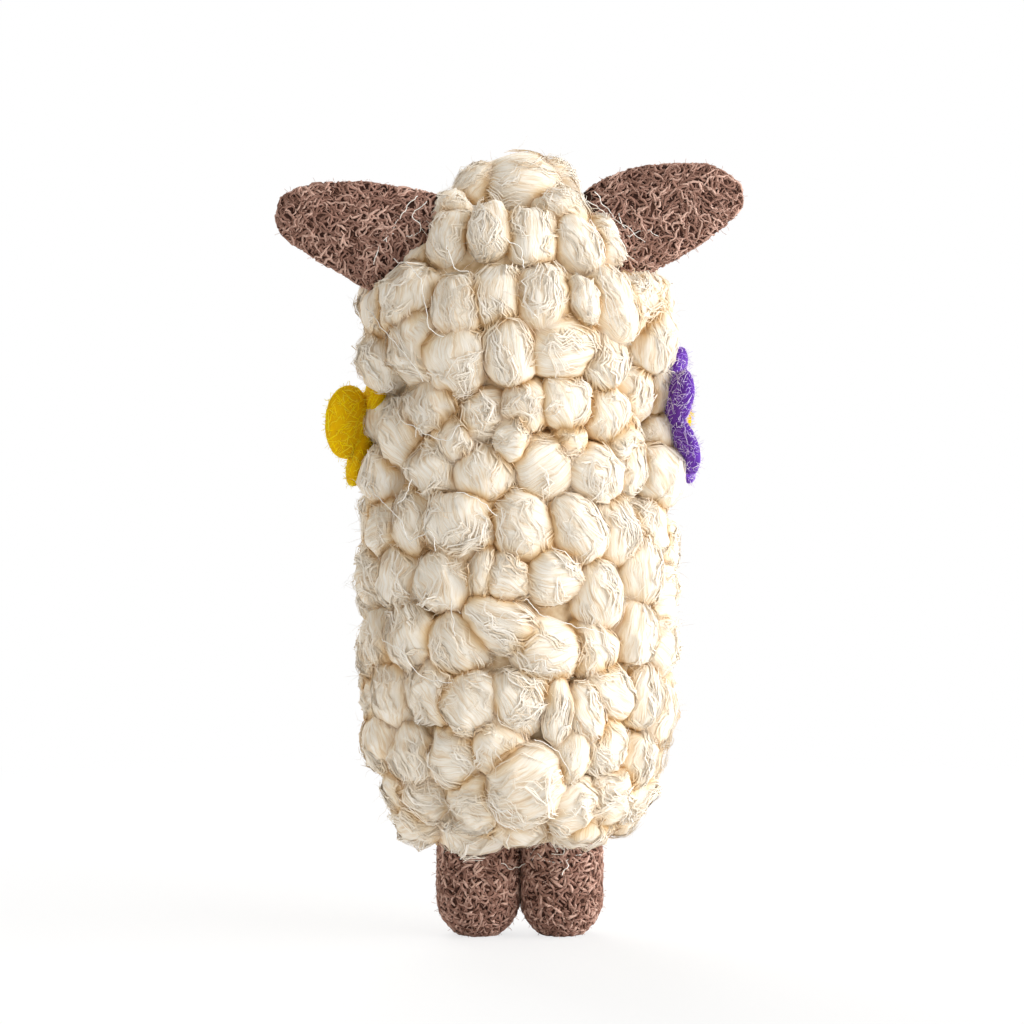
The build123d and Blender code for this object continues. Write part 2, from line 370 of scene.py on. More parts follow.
fibre_colour = colour_steps(nodes, lifted, [
    (0.3, (0.66, 0.48, 0.31)), (0.42, (0.83, 0.71, 0.55)), (0.5, (0.9, 0.835, 0.725)),
    (0.58, (0.95, 0.905, 0.82)), (0.72, (0.97, 0.95, 0.9)),
])
# Painted shade: the wool is painted tan where locks meet, the more so the nearer the next lock is.
painted_crease_shade = colour_steps(nodes, surface_value(nodes, "valley"), [
    (0.0, (0.56, 0.33, 0.13)), (0.2, (0.73, 0.51, 0.26)), (0.45, (0.87, 0.7, 0.46)), (1.0, (1, 0.97, 0.93)),
])
crease_shade_steps = [(0.0, 0.93), (0.2, 0.79), (0.5, 0.37), (0.8, 0.09), (1.0, 0)]
crease_shade_share = colour_steps(
    nodes, surface_value(nodes, "valley"), [(place, (share, share, share)) for place, share in crease_shade_steps])
patches = shader_noise(nodes, on_object(nodes), patch_scale, 1.0)
patches = shader_maths(nodes, "MULTIPLY_ADD", patches, patch_contrast, patch_start)
patches = shader_maths(nodes, "MAXIMUM", shader_maths(nodes, "MINIMUM", patches, 1.0), least_crease_shade)
crease_shade_share = shader_maths(nodes, "MULTIPLY", crease_shade_share, patches)
# Painted shade: each fibre is painted tan along its marked edges.
edge_shade_share = colour_steps(
    nodes, surface_value(nodes, "edge"), [(0.4, (0, 0, 0)), (1.0, (edge_shade_strength,) * 3)])
edge_shaded_colour = blend_colours(nodes, edge_shade_share, fibre_colour, painted_edge_shade)
wool_colour = blend_colours(nodes, crease_shade_share, edge_shaded_colour, painted_crease_shade)
nodes.links.new(wool_colour, shader.inputs["Base Color"])
bump = nodes.nodes.new("ShaderNodeBump")
bump.inputs["Distance"].default_value = streak_height
nodes.links.new(streak, bump.inputs["Height"])
nodes.links.new(bump.outputs[0], shader.inputs["Normal"])

# One lock is a plump ball of wool with tufts of fibres combed over it. Its fibres run from end to end and
# swirl with its twist. A tuft stands highest in its middle and comes loose at its tip. Fine hairs stand off
# all over.
fibre_floor = 1000
hair_floor = 200000
loom = Loom("rolled locks", {
    "Locks": "Geometry", "Sides": "Int", "Rings": "Int", "Groove": "Float",
    "Tufts": "Int", "Fibres": "Int", "Steps": "Int", "Thickness": "Float",
    "Hairs": "Int", "Hair Steps": "Int", "Hair Length": "Float", "Hair Thickness": "Float", "Seed": "Int",
})
centre, along, out = (loom.read_vector(name) for name in ("centre", "along", "out"))
half_length, half_width, height = (loom.read(name) for name in ("half_length", "half_width", "height"))
looseness, twist, bend, tilt = (loom.read(name) for name in ("looseness", "twist", "bend", "tilt"))
side = loom.vectors("CROSS_PRODUCT", out, along)
lock_fullness = 0.88
lump_size = 3.1 * mm
lump_height, looser_lump_height = 0.35 * mm, 1.4 * mm
broad_groove, fine_groove = 2.2, 6.0
pattern_stride = (7.0, 3.0, 5.0)


def facing(around, rise):
    """The direction on a lock at an angle round its fibres' axis and one along it, as along, side and out."""
    rise_sine, rise_cosine = loom.maths("SINE", rise), loom.maths("COSINE", rise)
    near = loom.product(rise_cosine, loom.maths("COSINE", around))
    tilt_sine, tilt_cosine = loom.maths("SINE", tilt), loom.maths("COSINE", tilt)
    forward = loom.maths("SUBTRACT", loom.product(rise_sine, tilt_cosine), loom.product(near, tilt_sine))
    outward_part = loom.maths("ADD", loom.product(rise_sine, tilt_sine), loom.product(near, tilt_cosine))
    across = loom.product(rise_cosine, loom.maths("SINE", around))
    return loom.vector(forward, across, outward_part)


def grain_at(around, rise):
    """The place of a fibre in the pattern of its lock, which is another for each lock."""
    own = loom.maths("SUBTRACT", around, loom.product(twist, rise))
    ring = loom.vector(loom.maths("COSINE", own), loom.maths("SINE", own), rise)
    return loom.total(ring, loom.scaled(loom.vector(*pattern_stride), loom.read("lock")))


def on_lock(geometry, direction, layer):
    """Moves the geometry to the lock, in this direction from its middle and with a layer of 1 on its surface.

    Where it would lie on an even lock is kept in "bed".
    """
    x, y, z = loom.parts(direction)
    full = loom.product(loom.maths("SIGN", z), loom.maths("POWER", loom.maths("ABSOLUTE", z), lock_fullness))
    bow = loom.product(bend, loom.maths("SUBTRACT", 0.55, loom.product(x, x)))
    p = loom.product(x, layer, half_length)
    q = loom.product(loom.maths("ADD", loom.product(y, layer), bow), half_width)
    r = loom.product(full, layer, height)
    place = loom.total(centre, loom.scaled(along, p), loom.scaled(side, q), loom.scaled(out, r))
    geometry = loom.store_vector(geometry, "bed", place)
    lock_facing = loom.vectors("NORMALIZE", loom.total(
        loom.scaled(along, loom.maths("DIVIDE", loom.product(x, mm), half_length)),
        loom.scaled(side, loom.maths("DIVIDE", loom.product(y, mm), half_width)),
        loom.scaled(out, loom.maths("DIVIDE", loom.product(z, mm), height))))
    geometry = loom.store_vector(geometry, "facing", lock_facing)
    place = loom.read_vector("bed")
    push = loom.drift(loom.scaled(place, 1 / lump_size), 2.0)
    lump = loom.maths("MULTIPLY_ADD", looseness, looser_lump_height, lump_height)
    return loom.moved(geometry, loom.total(place, loom.scaled(push, lump)))


def groove_at(grain, amount):
    """How far the lock's surface is drawn in between its bundles there."""
    stretched = loom.vectors("MULTIPLY", grain, (1, 1, 0.2))
    wide = loom.add("ShaderNodeTexNoise", {"Vector": stretched, "Scale": broad_groove, "Detail": 0.0})
    narrow = loom.add("ShaderNodeTexNoise", {"Vector": stretched, "Scale": fine_groove, "Detail": 0.0})
    both = loom.maths("ADD", loom.product(wide, 1.2), loom.product(narrow, 0.8))
    return loom.product(loom.maths("SUBTRACT", both, 1.0), amount)


locks = loom.store(loom.given["Locks"], "strand", loom.add("GeometryNodeInputIndex"))
locks = loom.store(locks, "lock", loom.add("GeometryNodeInputIndex"))
locks = loom.store_vector(locks, "centre", loom.here())
ball = loom.add("GeometryNodeMeshUVSphere", {0: loom.given["Sides"], 1: loom.given["Rings"], 2: 1.0})
balls = loom.add("GeometryNodeInstanceOnPoints", {0: locks, 2: ball})
balls = loom.add("GeometryNodeRealizeInstances", {0: balls})
ball_x, ball_y, ball_z = loom.parts(loom.vectors("SUBTRACT", loom.here(), centre))
level = loom.maths("MINIMUM", loom.maths("MAXIMUM", ball_z, -1.0), 1.0)
balls = loom.store(balls, "around", loom.maths("ARCTAN2", loom.product(ball_y, -1.0), ball_x))
balls = loom.store(balls, "rise", loom.maths("ARCSINE", level))
around, rise = loom.read("around"), loom.read("rise")
balls = loom.store(balls, "tone", -0.01)
balls = loom.store(balls, "run", loom.maths("MULTIPLY_ADD", rise, 1 / math.pi, 0.5))
balls = loom.store(balls, "round", loom.maths("MULTIPLY_ADD", around, 1 / math.tau, 0.5))
balls = loom.store_vector(balls, "grain", grain_at(around, rise))
grain = loom.read_vector("grain")
ball_layer = loom.maths("ADD", 0.97, groove_at(grain, loom.given["Groove"]))
balls = on_lock(balls, facing(around, rise), ball_layer)
balls = loom.add("GeometryNodeSetShadeSmooth", {0: balls})

tufts = loom.copies(locks, loom.given["Tufts"])
aim = loom.vectors("NORMALIZE", loom.total(loom.chance_vector(20), (0, 0, 0.4)))
tufts = loom.store_vector(tufts, "aim", aim)
aim = loom.read_vector("aim")
turned = loom.maths("ADD", loom.product(twist, loom.parts(aim)[0]), loom.chance(-0.55, 0.55, 21))
flow = loom.vector(loom.maths("COSINE", turned), loom.maths("SINE", turned), 0.0)
level_flow = loom.vectors("SUBTRACT", flow, loom.scaled(aim, loom.vectors("DOT_PRODUCT", flow, aim, out=1)))
tufts = loom.store_vector(tufts, "flow", loom.vectors("NORMALIZE", level_flow))
for number, (name, low, high) in enumerate([
    ("extent", 0.35, 0.8), ("bow", -0.4, 0.4), ("tuft_layer", 0.98, 1.02), ("tip", -0.06, 0.12),
    ("tuft_tone", -0.03, 0.03), ("crimp", 0.03, 0.11), ("crimp_pace", 5, 10), ("crimp_start", 0, 6.3),
]):
    tufts = loom.store(tufts, name, loom.chance(low, high, 22 + number))
fibres = loom.copies(tufts, loom.given["Fibres"])
for number, (name, low, high) in enumerate([
    ("spread", -1, 1), ("slip", -0.35, 0.35), ("tone", -0.04, 0.06), ("girth", 0.6, 1.25), ("chance", 0, 1),
]):
    fibres = loom.store(fibres, name, loom.chance(low, high, 30 + number))
fibres = loom.store(fibres, "tone", loom.maths("ADD", loom.read("tone"), loom.read("tuft_tone")))
fibres = loom.store_vector(fibres, "stray", loom.chance_vector(36))
fibres = loom.store_vector(fibres, "grain", loom.scaled(loom.read_vector("stray"), 9.0))
fibres = loom.strands(fibres, loom.given["Steps"], fibre_floor)
run = loom.add("GeometryNodeSplineParameter")
spread, tip = loom.read("spread"), loom.read("tip")
along_tuft = loom.maths("ADD", loom.maths("MULTIPLY_ADD", run, 2.0, -1.0), loom.read("slip"))
tuft_half_width = 0.24
tip_lift = 0.4 * mm
gathered = loom.maths("MULTIPLY_ADD", along_tuft, -0.3, 0.8)
crimp_turn = loom.maths("MULTIPLY_ADD", along_tuft, loom.read("crimp_pace"), loom.read("crimp_start"))
crimp = loom.product(loom.maths("SINE", crimp_turn), loom.read("crimp"))
bow = loom.product(loom.read("bow"), along_tuft, along_tuft)
sideways = loom.plus(bow, loom.product(spread, gathered, tuft_half_width), crimp)
flow = loom.read_vector("flow")
direction = loom.vectors("NORMALIZE", loom.total(
    aim, loom.scaled(flow, loom.product(loom.read("extent"), along_tuft)),
    loom.scaled(loom.vectors("CROSS_PRODUCT", aim, flow), sideways)))
freedom = loom.maths("POWER", loom.read("chance"), 12.0)
dome = loom.product(loom.maths("SUBTRACT", 1.0, loom.product(spread, spread)), 0.04)
arch = loom.product(loom.maths("SUBTRACT", 1.0, loom.product(along_tuft, along_tuft)), 0.03)
lifted_tip = loom.product(tip, loom.maths("POWER", loom.maths("MAXIMUM", along_tuft, 0.0), 2.0))
lifted_tip = loom.maths("MINIMUM", lifted_tip, loom.maths("DIVIDE", tip_lift, height))
layer = loom.plus(loom.read("tuft_layer"), dome, loom.plus(arch, lifted_tip))
layer = loom.maths("MULTIPLY_ADD", freedom, 0.08, loom.maths("SUBTRACT", layer, 0.03))
# Painted shade: fibres that lie lower in the tuft are painted darker.
depth_shade = loom.maths("MULTIPLY_ADD", loom.maths("MINIMUM", layer, 1.1), 0.6, -0.6)
fibres = loom.store(fibres, "tone", loom.maths("ADD", loom.read("tone"), depth_shade))
fibres = on_lock(fibres, direction, layer)
place = loom.here()
wave_size, sway_size = 1.5 * mm, 1.4 * mm
wave = loom.drift(loom.scaled(place, 1 / wave_size))
wave_height = loom.maths("MULTIPLY_ADD", looseness, 0.45 * mm, 0.2 * mm)
stray = loom.scaled(loom.read_vector("stray"), 6.0)
own = loom.drift(loom.total(loom.scaled(place, 1 / sway_size), stray))
sway = loom.maths("MULTIPLY_ADD", looseness, 0.12 * mm, 0.03 * mm)
sway = loom.maths("MULTIPLY_ADD", freedom, 0.8 * mm, sway)
fibres = loom.moved(fibres, loom.total(place, loom.scaled(own, sway), loom.scaled(wave, wave_height)))


def tapered_ends(run):
    """The share of its full thickness that a fibre has along its run."""
    return loom.maths("POWER", loom.maths("SINE", loom.maths("MULTIPLY_ADD", run, 2.9, 0.12)), 0.5)


girth = loom.product(loom.given["Thickness"], 0.5, loom.read("girth"), tapered_ends(run))
fibres = loom.spun(fibres, girth, flatness=0.12)
fibres = loom.add("GeometryNodeSetShadeSmooth", {0: fibres, 2: False})

hairs = loom.copies(locks, loom.given["Hairs"])
hairs = loom.store(hairs, "around", loom.chance(-1.8, 1.8, 60))
hairs = loom.store(hairs, "rise", loom.chance(-1.3, 1.3, 61))
hairs = loom.store_vector(hairs, "grain", grain_at(around, rise))
hairs = on_lock(hairs, facing(around, rise), 1.0)
heading = loom.total(loom.scaled(out, loom.chance(0.0, 0.9, 62)), loom.chance_vector(63))
hairs = loom.store_vector(hairs, "root", loom.here())
hairs = loom.store_vector(hairs, "heading", loom.vectors("NORMALIZE", heading))
hairs = loom.store(hairs, "reach", loom.product(loom.given["Hair Length"], loom.chance(0.35, 1.3, 64)))
hairs = loom.store(hairs, "tone", loom.chance(0.05, 0.2, 65))
hairs = loom.strands(hairs, loom.given["Hair Steps"], hair_floor)
far = loom.product(run, loom.read("reach"))
hair_place = loom.total(loom.read_vector("root"), loom.scaled(loom.read_vector("heading"), far))
curl_size, curl_reach = 1.3 * mm, 1.4 * mm
curl = loom.scaled(loom.drift(loom.scaled(hair_place, 1 / curl_size)), loom.product(run, curl_reach))
hairs = loom.moved(hairs, loom.total(hair_place, curl))
hair_taper = loom.maths("SUBTRACT", 1.15, run)
hairs = loom.spun(hairs, loom.product(loom.given["Hair Thickness"], 0.5, hair_taper))
lock_tree = loom.finish(loom.join(balls, fibres, hairs), cream)

# Each lock seen on the back, as it shows in the picture: millimetres left of the middle and up from the
# floor, its width and length, how far its upper end leans left in degrees, its twist in degrees, its bend
# and its looseness.
back_locks = [
    (11.4, 102.6, 6.5, 6, 20, 0, 0, 0.7), (-8, 103, 9, 8, 20, 0, 0, 0.4),
    (11, 98.8, 6.5, 8.4, 5, 0, 0.1, 0.4), (4.3, 99.9, 6.6, 8.6, 4, 10, 0, 0.3),
    (-2.2, 99, 7.6, 9.6, 0, 0, 0, 0.3), (-9.7, 97.6, 7, 10, 12, 0, 0.1, 0.3),
    (17.2, 90.8, 7.5, 9, -30, 30, 0.2, 0.9), (9.7, 88, 8.2, 9.4, 12, 10, 0, 0.25),
    (3, 90.8, 8.4, 9.8, 5, -10, 0.1, 0.2), (-4.1, 90.5, 8.8, 10.6, -8, 12, 0, 0.25),
    (-9.9, 89.4, 4.6, 7, 0, 0, 0, 0.4), (-14.6, 89.6, 8, 12, 14, 0, 0, 0.3),
    (15.9, 81.2, 8.5, 9, 20, 30, 0.3, 0.9), (9.4, 79.8, 9, 9.6, -20, 40, 0.2, 0.8),
    (1.2, 81, 7.8, 10.8, 4, 0, 0, 0.2), (-7.4, 82.8, 10, 11.2, 55, 50, 0.3, 0.35),
    (-13.8, 79.6, 7.6, 9, 20, 0, 0.1, 0.4), (13.4, 73.3, 8.4, 7.4, 0, 30, 0.2, 0.8),
    (5.4, 72.6, 8, 7, 40, 60, 0.3, 0.6), (-1.4, 73.5, 6.8, 7.6, 10, 30, 0, 0.5),
    (-7.8, 73.9, 8, 8, -20, 40, 0.2, 0.5), (-14, 72.6, 8, 8.4, 30, 0, 0, 0.4),
    (13.2, 65.8, 8.6, 8.4, -10, 50, 0, 1), (5.6, 65.2, 8.6, 8.6, 4, 10, 0, 0.4),
    (-4.7, 66.4, 10, 9.4, 60, 130, 0.2, 0.4), (-12.2, 65, 8, 8.6, 30, 30, 0, 0.4),
    (-17.6, 66.4, 6, 8, 0, 0, 0, 0.4), (16.8, 57.6, 8, 9.4, 10, 30, 0, 0.9),
    (8.8, 57.2, 9.4, 9.4, -30, 90, 0.2, 1), (-1.2, 57, 9, 10.4, 30, 60, 0.2, 0.5),
    (-9.5, 56.8, 8, 10.6, 30, 10, 0, 0.2), (-16, 56.8, 8, 10, 10, 0, 0, 0.4),
    (18.4, 50, 7, 9, 0, 0, 0, 0.8), (11.4, 50, 8.4, 8.6, -20, 60, 0, 1),
    (5.5, 50.8, 3.4, 7.6, -6, 0, 0, 0.5), (1.2, 50.2, 6.4, 7, 20, 60, 0.2, 0.6),
    (-5.8, 50.4, 8, 8, 40, 70, 0.2, 0.4), (-12.6, 47.6, 7.6, 9.6, 10, 20, 0, 0.4),
    (-19.4, 50.6, 7, 9.6, 0, 0, 0, 0.4), (17, 41.6, 8, 9, 0, 40, 0, 0.8),
    (9.6, 40.7, 9.2, 9.2, 10, 40, 0.1, 0.6), (2.6, 43.8, 7.6, 11.4, 62, 10, 0.1, 0.4),
    (-4.6, 40.2, 9, 11, 62, 60, 0.3, 0.3), (-12, 39.8, 7.6, 9, 20, 20, 0, 0.4),
    (-18.4, 42.4, 7.4, 9, 0, 0, 0, 0.4), (19.6, 33.4, 7, 9, 0, 0, 0, 0.7),
    (13.4, 33.6, 8.2, 9, 10, 40, 0.2, 0.7), (7, 31.6, 8, 9, -20, 110, 0.3, 0.7),
    (-0.6, 32, 8.6, 9, -30, 120, 0.3, 0.5), (-6, 31, 4.8, 9.6, 0, 0, 0, 0.3),
    (-10.4, 30.6, 6, 9, 20, 30, 0.2, 0.5), (-14.6, 34.2, 8, 10.6, 40, 30, 0.2, 0.4),
    (-20, 33, 7, 9, 0, 0, 0, 0.4), (17, 24.4, 8, 8.4, 0, 30, 0, 0.7),
    (9.6, 24.2, 10, 8.4, 40, 60, 0.2, 0.7), (-8, 24.6, 5, 8, 0, 0, 0, 0.5),
    (-13.6, 25.6, 8.4, 8.4, 30, 30, 0, 0.5), (-19, 24, 7.4, 8.4, 0, 0, 0, 0.5),
    (15.8, 17.2, 9.6, 8, 70, 20, 0, 0.8), (6.4, 16.8, 8.6, 7.4, 70, 20, 0, 0.9),
    (-8, 16.4, 8, 7.6, 80, 20, 0, 0.9), (-14, 17.8, 9, 8, 70, 20, 0, 0.8),
]
# Locks that bulge over the inner edge of the flowers and at the hem, and small ones that close gaps: how far
# out they stand, and the rest as before.
flank_locks = [
    (1.5, -20.8, 82.8, 7, 9, 5, 0, 0, 0.4), (1.7, -20.8, 75.4, 7, 8, 0, 0, 0, 0.5),
    (1.0, -20.6, 70.2, 6, 5.6, 0, 0, 0, 0.5), (2.2, -20.9, 64.6, 7.6, 8.4, 0, 0, 0, 0.5),
    (1.2, 20.6, 79.8, 7, 8, 0, 0, 0, 0.6), (1.2, 20.9, 72.4, 7, 8.4, 0, 20, 0, 0.6),
    (1.0, 20.8, 65, 7, 8, 0, 0, 0, 0.6), (0.8, 18.2, 19.6, 7.4, 8, 40, 20, 0, 0.6),
    (1.5, 15.4, 14.8, 8, 7, 70, 20, 0, 0.7), (0.8, 20.2, 26.4, 7.2, 8, 10, 20, 0, 0.6),
    (-0.5, 0.8, 69.6, 6.4, 5, 80, 10, 0, 0.6), (-0.5, -8.3, 69.8, 6.4, 5, 90, 10, 0, 0.6),
    (-0.5, -15.9, 69.6, 6, 5, 80, 10, 0, 0.6),
]
tail_lock = (-1.2, 20.2, 13, 11, 78, 40, 0.1, 0.3)
tail_raised = 2.0
# The locks on the crown, as seen from above: millimetres left of the middle and back from it, and the rest
# as before.
crown_locks = [
    (-1.6, 2.5, 12, 12, 68, 10, 0, 0.1), (7.2, 1.5, 6.8, 7.2, 0, 20, 0, 0.3),
    (-7, -2, 7, 9, 30, 30, 0, 0.3), (-1.5, -7, 10, 9, 60, 40, 0, 0.6), (6, -6.4, 8, 8.4, 20, 30, 0.1, 0.6),
]

neat_overlap = 1.0
looser_overlap = 0.22
widest_tilt = math.radians(18)
draw = random.Random(11)


def lock(point, width, length, lean, twist, bend, looseness, raised=0.0):
    """One lock whose top is at this point of the fleece, as a dict of what the tree reads."""
    out = outward(point)
    up = Vector((0, 0, 1)) if abs(out.z) < 0.94 else Vector((0, -1, 0))
    up = (up - out * up.dot(out)).normalized()
    left = out.cross(up)
    along = up * math.cos(lean) + left * math.sin(lean)
    overlap = neat_overlap + looser_overlap * looseness
    height = (0.34 * min(width, length) + 0.12 * max(width, length)) * overlap
    return {
        "centre": point - out * (height - raised + draw.uniform(-0.5, 0.6) * mm), "along": along, "out": out,
        "half_length": length / 2 * overlap, "half_width": width / 2 * overlap, "height": height,
        "twist": twist, "bend": bend, "looseness": looseness,
        "tilt": draw.uniform(-1, 1) * widest_tilt,
    }


def hand_lock(x, z, width, length, lean, twist, bend, looseness, raised=0.0):
    """One lock behind the place in the picture that is x mm left of the middle and z mm up."""
    lean, twist = math.radians(lean), math.radians(twist)
    return lock(on_back(x, z), width * mm, length * mm, lean, twist, bend, looseness, raised * mm)


def crown_lock(x, y, width, length, lean, twist, bend, looseness):
    """One lock whose top is x mm left of the middle and y mm behind it, on the crown."""
    reach = math.hypot(x, y / fleece_depth_share)
    heights, half_widths = zip(*fleece_outline[::-1][:crown_stations])
    z = np.interp(reach, half_widths, heights)
    point = Vector((x, y, z - crown_sink)) * mm
    return lock(point, width * mm, length * mm, math.radians(lean), math.radians(twist), bend, looseness)


crown_stations = 8
crown_sink = 1.0
placed_locks = [hand_lock(*values) for values in back_locks] + [crown_lock(*values) for values in crown_locks]
placed_locks += [hand_lock(*values, raised=raised) for raised, *values in flank_locks]
tail_locks = [hand_lock(*tail_lock, raised=tail_raised)]
fixed = [item["centre"] + item["out"] * item["height"] for item in placed_locks + tail_locks]

# Everywhere else the curls start in rows, and then push each other apart as they do under the needle. They
# leave room for the face and the front legs.
curl_pitch = 7.7 * mm
least_room = 0.62 * curl_pitch
least_gap = 0.45 * curl_pitch
push_rounds = 40
lowest_curl, highest_curl = 12 * mm, 104.5 * mm
face_low, face_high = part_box("face")
face_middle = (face_low + face_high) / 2
face_reach = 0.98 * (face_high - face_low) / 2
arm_seats = []
for side in ("left", "right"):
    low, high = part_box(f"front_leg_{side}")
    for share in (0.1, 0.6):
        arm_seats.append(Vector(((low.x + high.x) / 2, low.y, low.z + share * (high.z - low.z))))


def face_share(x, z):
    """How far out from the middle of the face a place is, with 1 on the face's edge."""
    return math.hypot((x - face_middle.x) / face_reach.x, (z - face_middle.z) / face_reach.z)


def on_fleece(point):
    """The point moved level to the fleece's outline, and out of the face."""
    x, y, z = point
    z = min(max(z, lowest_curl), highest_curl)
    share = face_share(x, z)
    if y < 0 and share < 1:
        x = face_middle.x + (x - face_middle.x) / max(share, 0.1)
        z = face_middle.z + (z - face_middle.z) / max(share, 0.1)
        z = min(z, highest_curl)
    reach = fleece_half_width(z)
    across = max(math.hypot(x, y / fleece_depth_share), 0.1 * mm)
    return np.array((x * reach / across, y * reach / across, z))


row_heights = [11.9 * mm] + [(low + high) / 2 for low, high in zip(row_floors, row_floors[1:])]
still = np.array(fixed + arm_seats)
free = []
for index, row_height in enumerate(row_heights):
    width = fleece_half_width(row_height)
    count = max(3, round(2 * math.pi * width * 0.96 / curl_pitch))
    for i in range(count):
        angle = 2 * math.pi * (i + 0.5 * (index % 2) + draw.uniform(-0.4, 0.4)) / count
        z = row_height + draw.uniform(-2.4, 2.4) * mm
        point = on_fleece((width * math.cos(angle), fleece_depth_share * width * math.sin(angle), z))
        at_face = point[1] < 0 and face_share(point[0], point[2]) < 1.001
        if np.linalg.norm(still - point, axis=1).min() > least_room and not (at_face and i % 2):
            free.append(point)
free = np.array(free)
for _ in range(push_rounds):
    everything = np.concatenate([free, still])
    apart = free[:, None] - everything[None]
    distance = np.linalg.norm(apart, axis=2)
    distance[distance < 1e-9] = np.inf
    push = np.clip(curl_pitch - distance, 0, None) / distance * 0.25
    free += (apart * push[..., None]).sum(axis=1)
    free = np.array([on_fleece(point) for point in free])
everything = np.concatenate([free, still])
for point in free:
    distance = np.sort(np.linalg.norm(everything - point, axis=1))
    if distance[1] < least_gap:
        continue
    room = distance[1:5].mean()
    width = min(max(room, 0.75 * curl_pitch), 1.3 * curl_pitch) * draw.uniform(0.95, 1.12)
    placed_locks.append(lock(
        Vector(point), width, width * draw.uniform(0.95, 1.25), math.radians(draw.uniform(-75, 75)),
        math.radians(draw.uniform(0, 110)), draw.uniform(0, 0.3), draw.uniform(0.3, 0.9)))
# One more closes the gap behind the purple flower.
placed_locks.append(hand_lock(-17.6, 70.3, 6.5, 6, 60, 20, 0, 0.6, raised=-0.6))

# Locks further apart than this don't touch, and where two meet, the shade reaches this far from the line.
lock_sight = 15 * mm
valley_width = 2.2 * mm


def mark_valleys(mesh, locks):
    """Stores how far each point lies from the next lock: 0 where they meet and 1 well clear of it."""
    count = len(mesh.vertices)
    points = np.zeros(count * 3, np.float32)
    mesh.attributes["bed"].data.foreach_get("vector", points)
    points = points.reshape(-1, 3)
    own = np.zeros(count, np.float32)
    mesh.attributes["lock"].data.foreach_get("value", own)
    valley = np.ones(count, np.float32)
    for index, item in enumerate(locks):
        mine = np.nonzero(np.abs(own - index) < 0.5)[0]
        for other in placed_locks + tail_locks:
            if other is item or (other["centre"] - item["centre"]).length > lock_sight:
                continue
            side = other["out"].cross(other["along"])
            apart = points[mine] - np.array(other["centre"])
            axes = [other["along"] / other["half_length"], side / other["half_width"]]
            axes.append(other["out"] / other["height"])
            reach = np.sqrt(sum((apart @ np.array(axis)) ** 2 for axis in axes))
            gap = (reach - 1) * (other["half_length"] + other["half_width"]) / 2
            valley[mine] = np.minimum(valley[mine], np.clip(gap / valley_width, 0, 1))
    mesh.attributes.new("valley", "FLOAT", "POINT").data.foreach_set("value", valley)


def rolled(node, locks, seed):
    """The fleece piece that stands for this node, made of these locks."""
    mesh = bpy.data.meshes.new(node)
    mesh.from_pydata([item["centre"] for item in locks], [], [])
    for name, value in locks[0].items():
        kind = "FLOAT_VECTOR" if isinstance(value, Vector) else "FLOAT"
        values = [part for item in locks for part in (item[name] if kind == "FLOAT_VECTOR" else [item[name]])]
        attribute = mesh.attributes.new(name, kind, "POINT")
        attribute.data.foreach_set("vector" if kind == "FLOAT_VECTOR" else "value", values)
    piece = dress(
        mesh, f"{node}_wool", lock_tree, Sides=34, Rings=17, Groove=0.13,
        Tufts=17, Fibres=8, Steps=7, Thickness=0.22 * mm,
        Hairs=14, Hair_Steps=4, Hair_Length=2.6 * mm, Hair_Thickness=0.055 * mm, Seed=seed)
    mark_valleys(piece.data, locks)
    lay_bake_map(piece.data, [(0, 0.4), (fibre_floor, 0.95), (hair_floor, 1)])
    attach(piece, "root")
    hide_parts(node)


def row_of(item):
    top = item["centre"] + item["out"] * item["height"]
    return max([0] + [i for i, floor in enumerate(row_floors) if top.z >= floor])


for index, node in enumerate(row_nodes):
    rolled(node, [item for item in placed_locks if row_of(item) == index], 100 * index)
rolled("tail", tail_locks, 2000)

# Loose hairs. Single long hairs of the same wool have come out of the curls and lie kinked across them, the
# tops of the legs and the ears. Each route is in millimetres left of the middle and up from the floor.
loose_hairs = [
    [(20.3, 87.6), (17.8, 84.2), (16, 82.1), (14.5, 80.6), (12.7, 77.5)],
    [(14.2, 97.4), (17.3, 96.6), (19.1, 94.2)], [(16.7, 94.2), (13.4, 91.7), (11.8, 84.8), (10, 83.7)],
    [(1.8, 96.9), (-0.3, 95.4), (-0.8, 93)], [(9.7, 96), (8.5, 93), (6.7, 92.4)],
    [(-10.9, 93.8), (-11.7, 89.9), (-12.4, 86.3)], [(15.5, 72.1), (12.1, 70), (9.7, 69.2), (7.9, 71.5)],
    [(20.6, 63.2), (19.1, 61.4), (16, 58.3), (14.5, 55.3), (11.8, 56.8), (11.3, 53.9)],
    [(14.2, 63.8), (15.2, 61.9), (16.3, 60.4)], [(8.2, 62.2), (5.4, 61.1), (2.8, 58.9)],
    [(-0.8, 47.2), (-3.9, 44.7), (-8.5, 43.3), (-11.7, 42.3)],
    [(18.5, 41.5), (16, 40), (13.4, 36.6), (9, 35.4)], [(9, 46.9), (8.5, 42)],
    [(-2.4, 27.6), (-5.4, 25.8), (-7.2, 22.7)],
]
leg_hairs = [
    [(2.4, 11.3), (1.3, 10.6), (0.8, 9.6), (-1.1, 10.3), (-2.4, 12.2)],
    [(-2.5, 12.7), (-3.8, 11.6), (-5.8, 11.6), (-8.8, 12.5)], [(-4.6, 12.7), (-6.1, 12.8), (-6.4, 14.5)],
    [(-6.5, 11.7), (-6.3, 10.3), (-5.6, 9.3)],
]
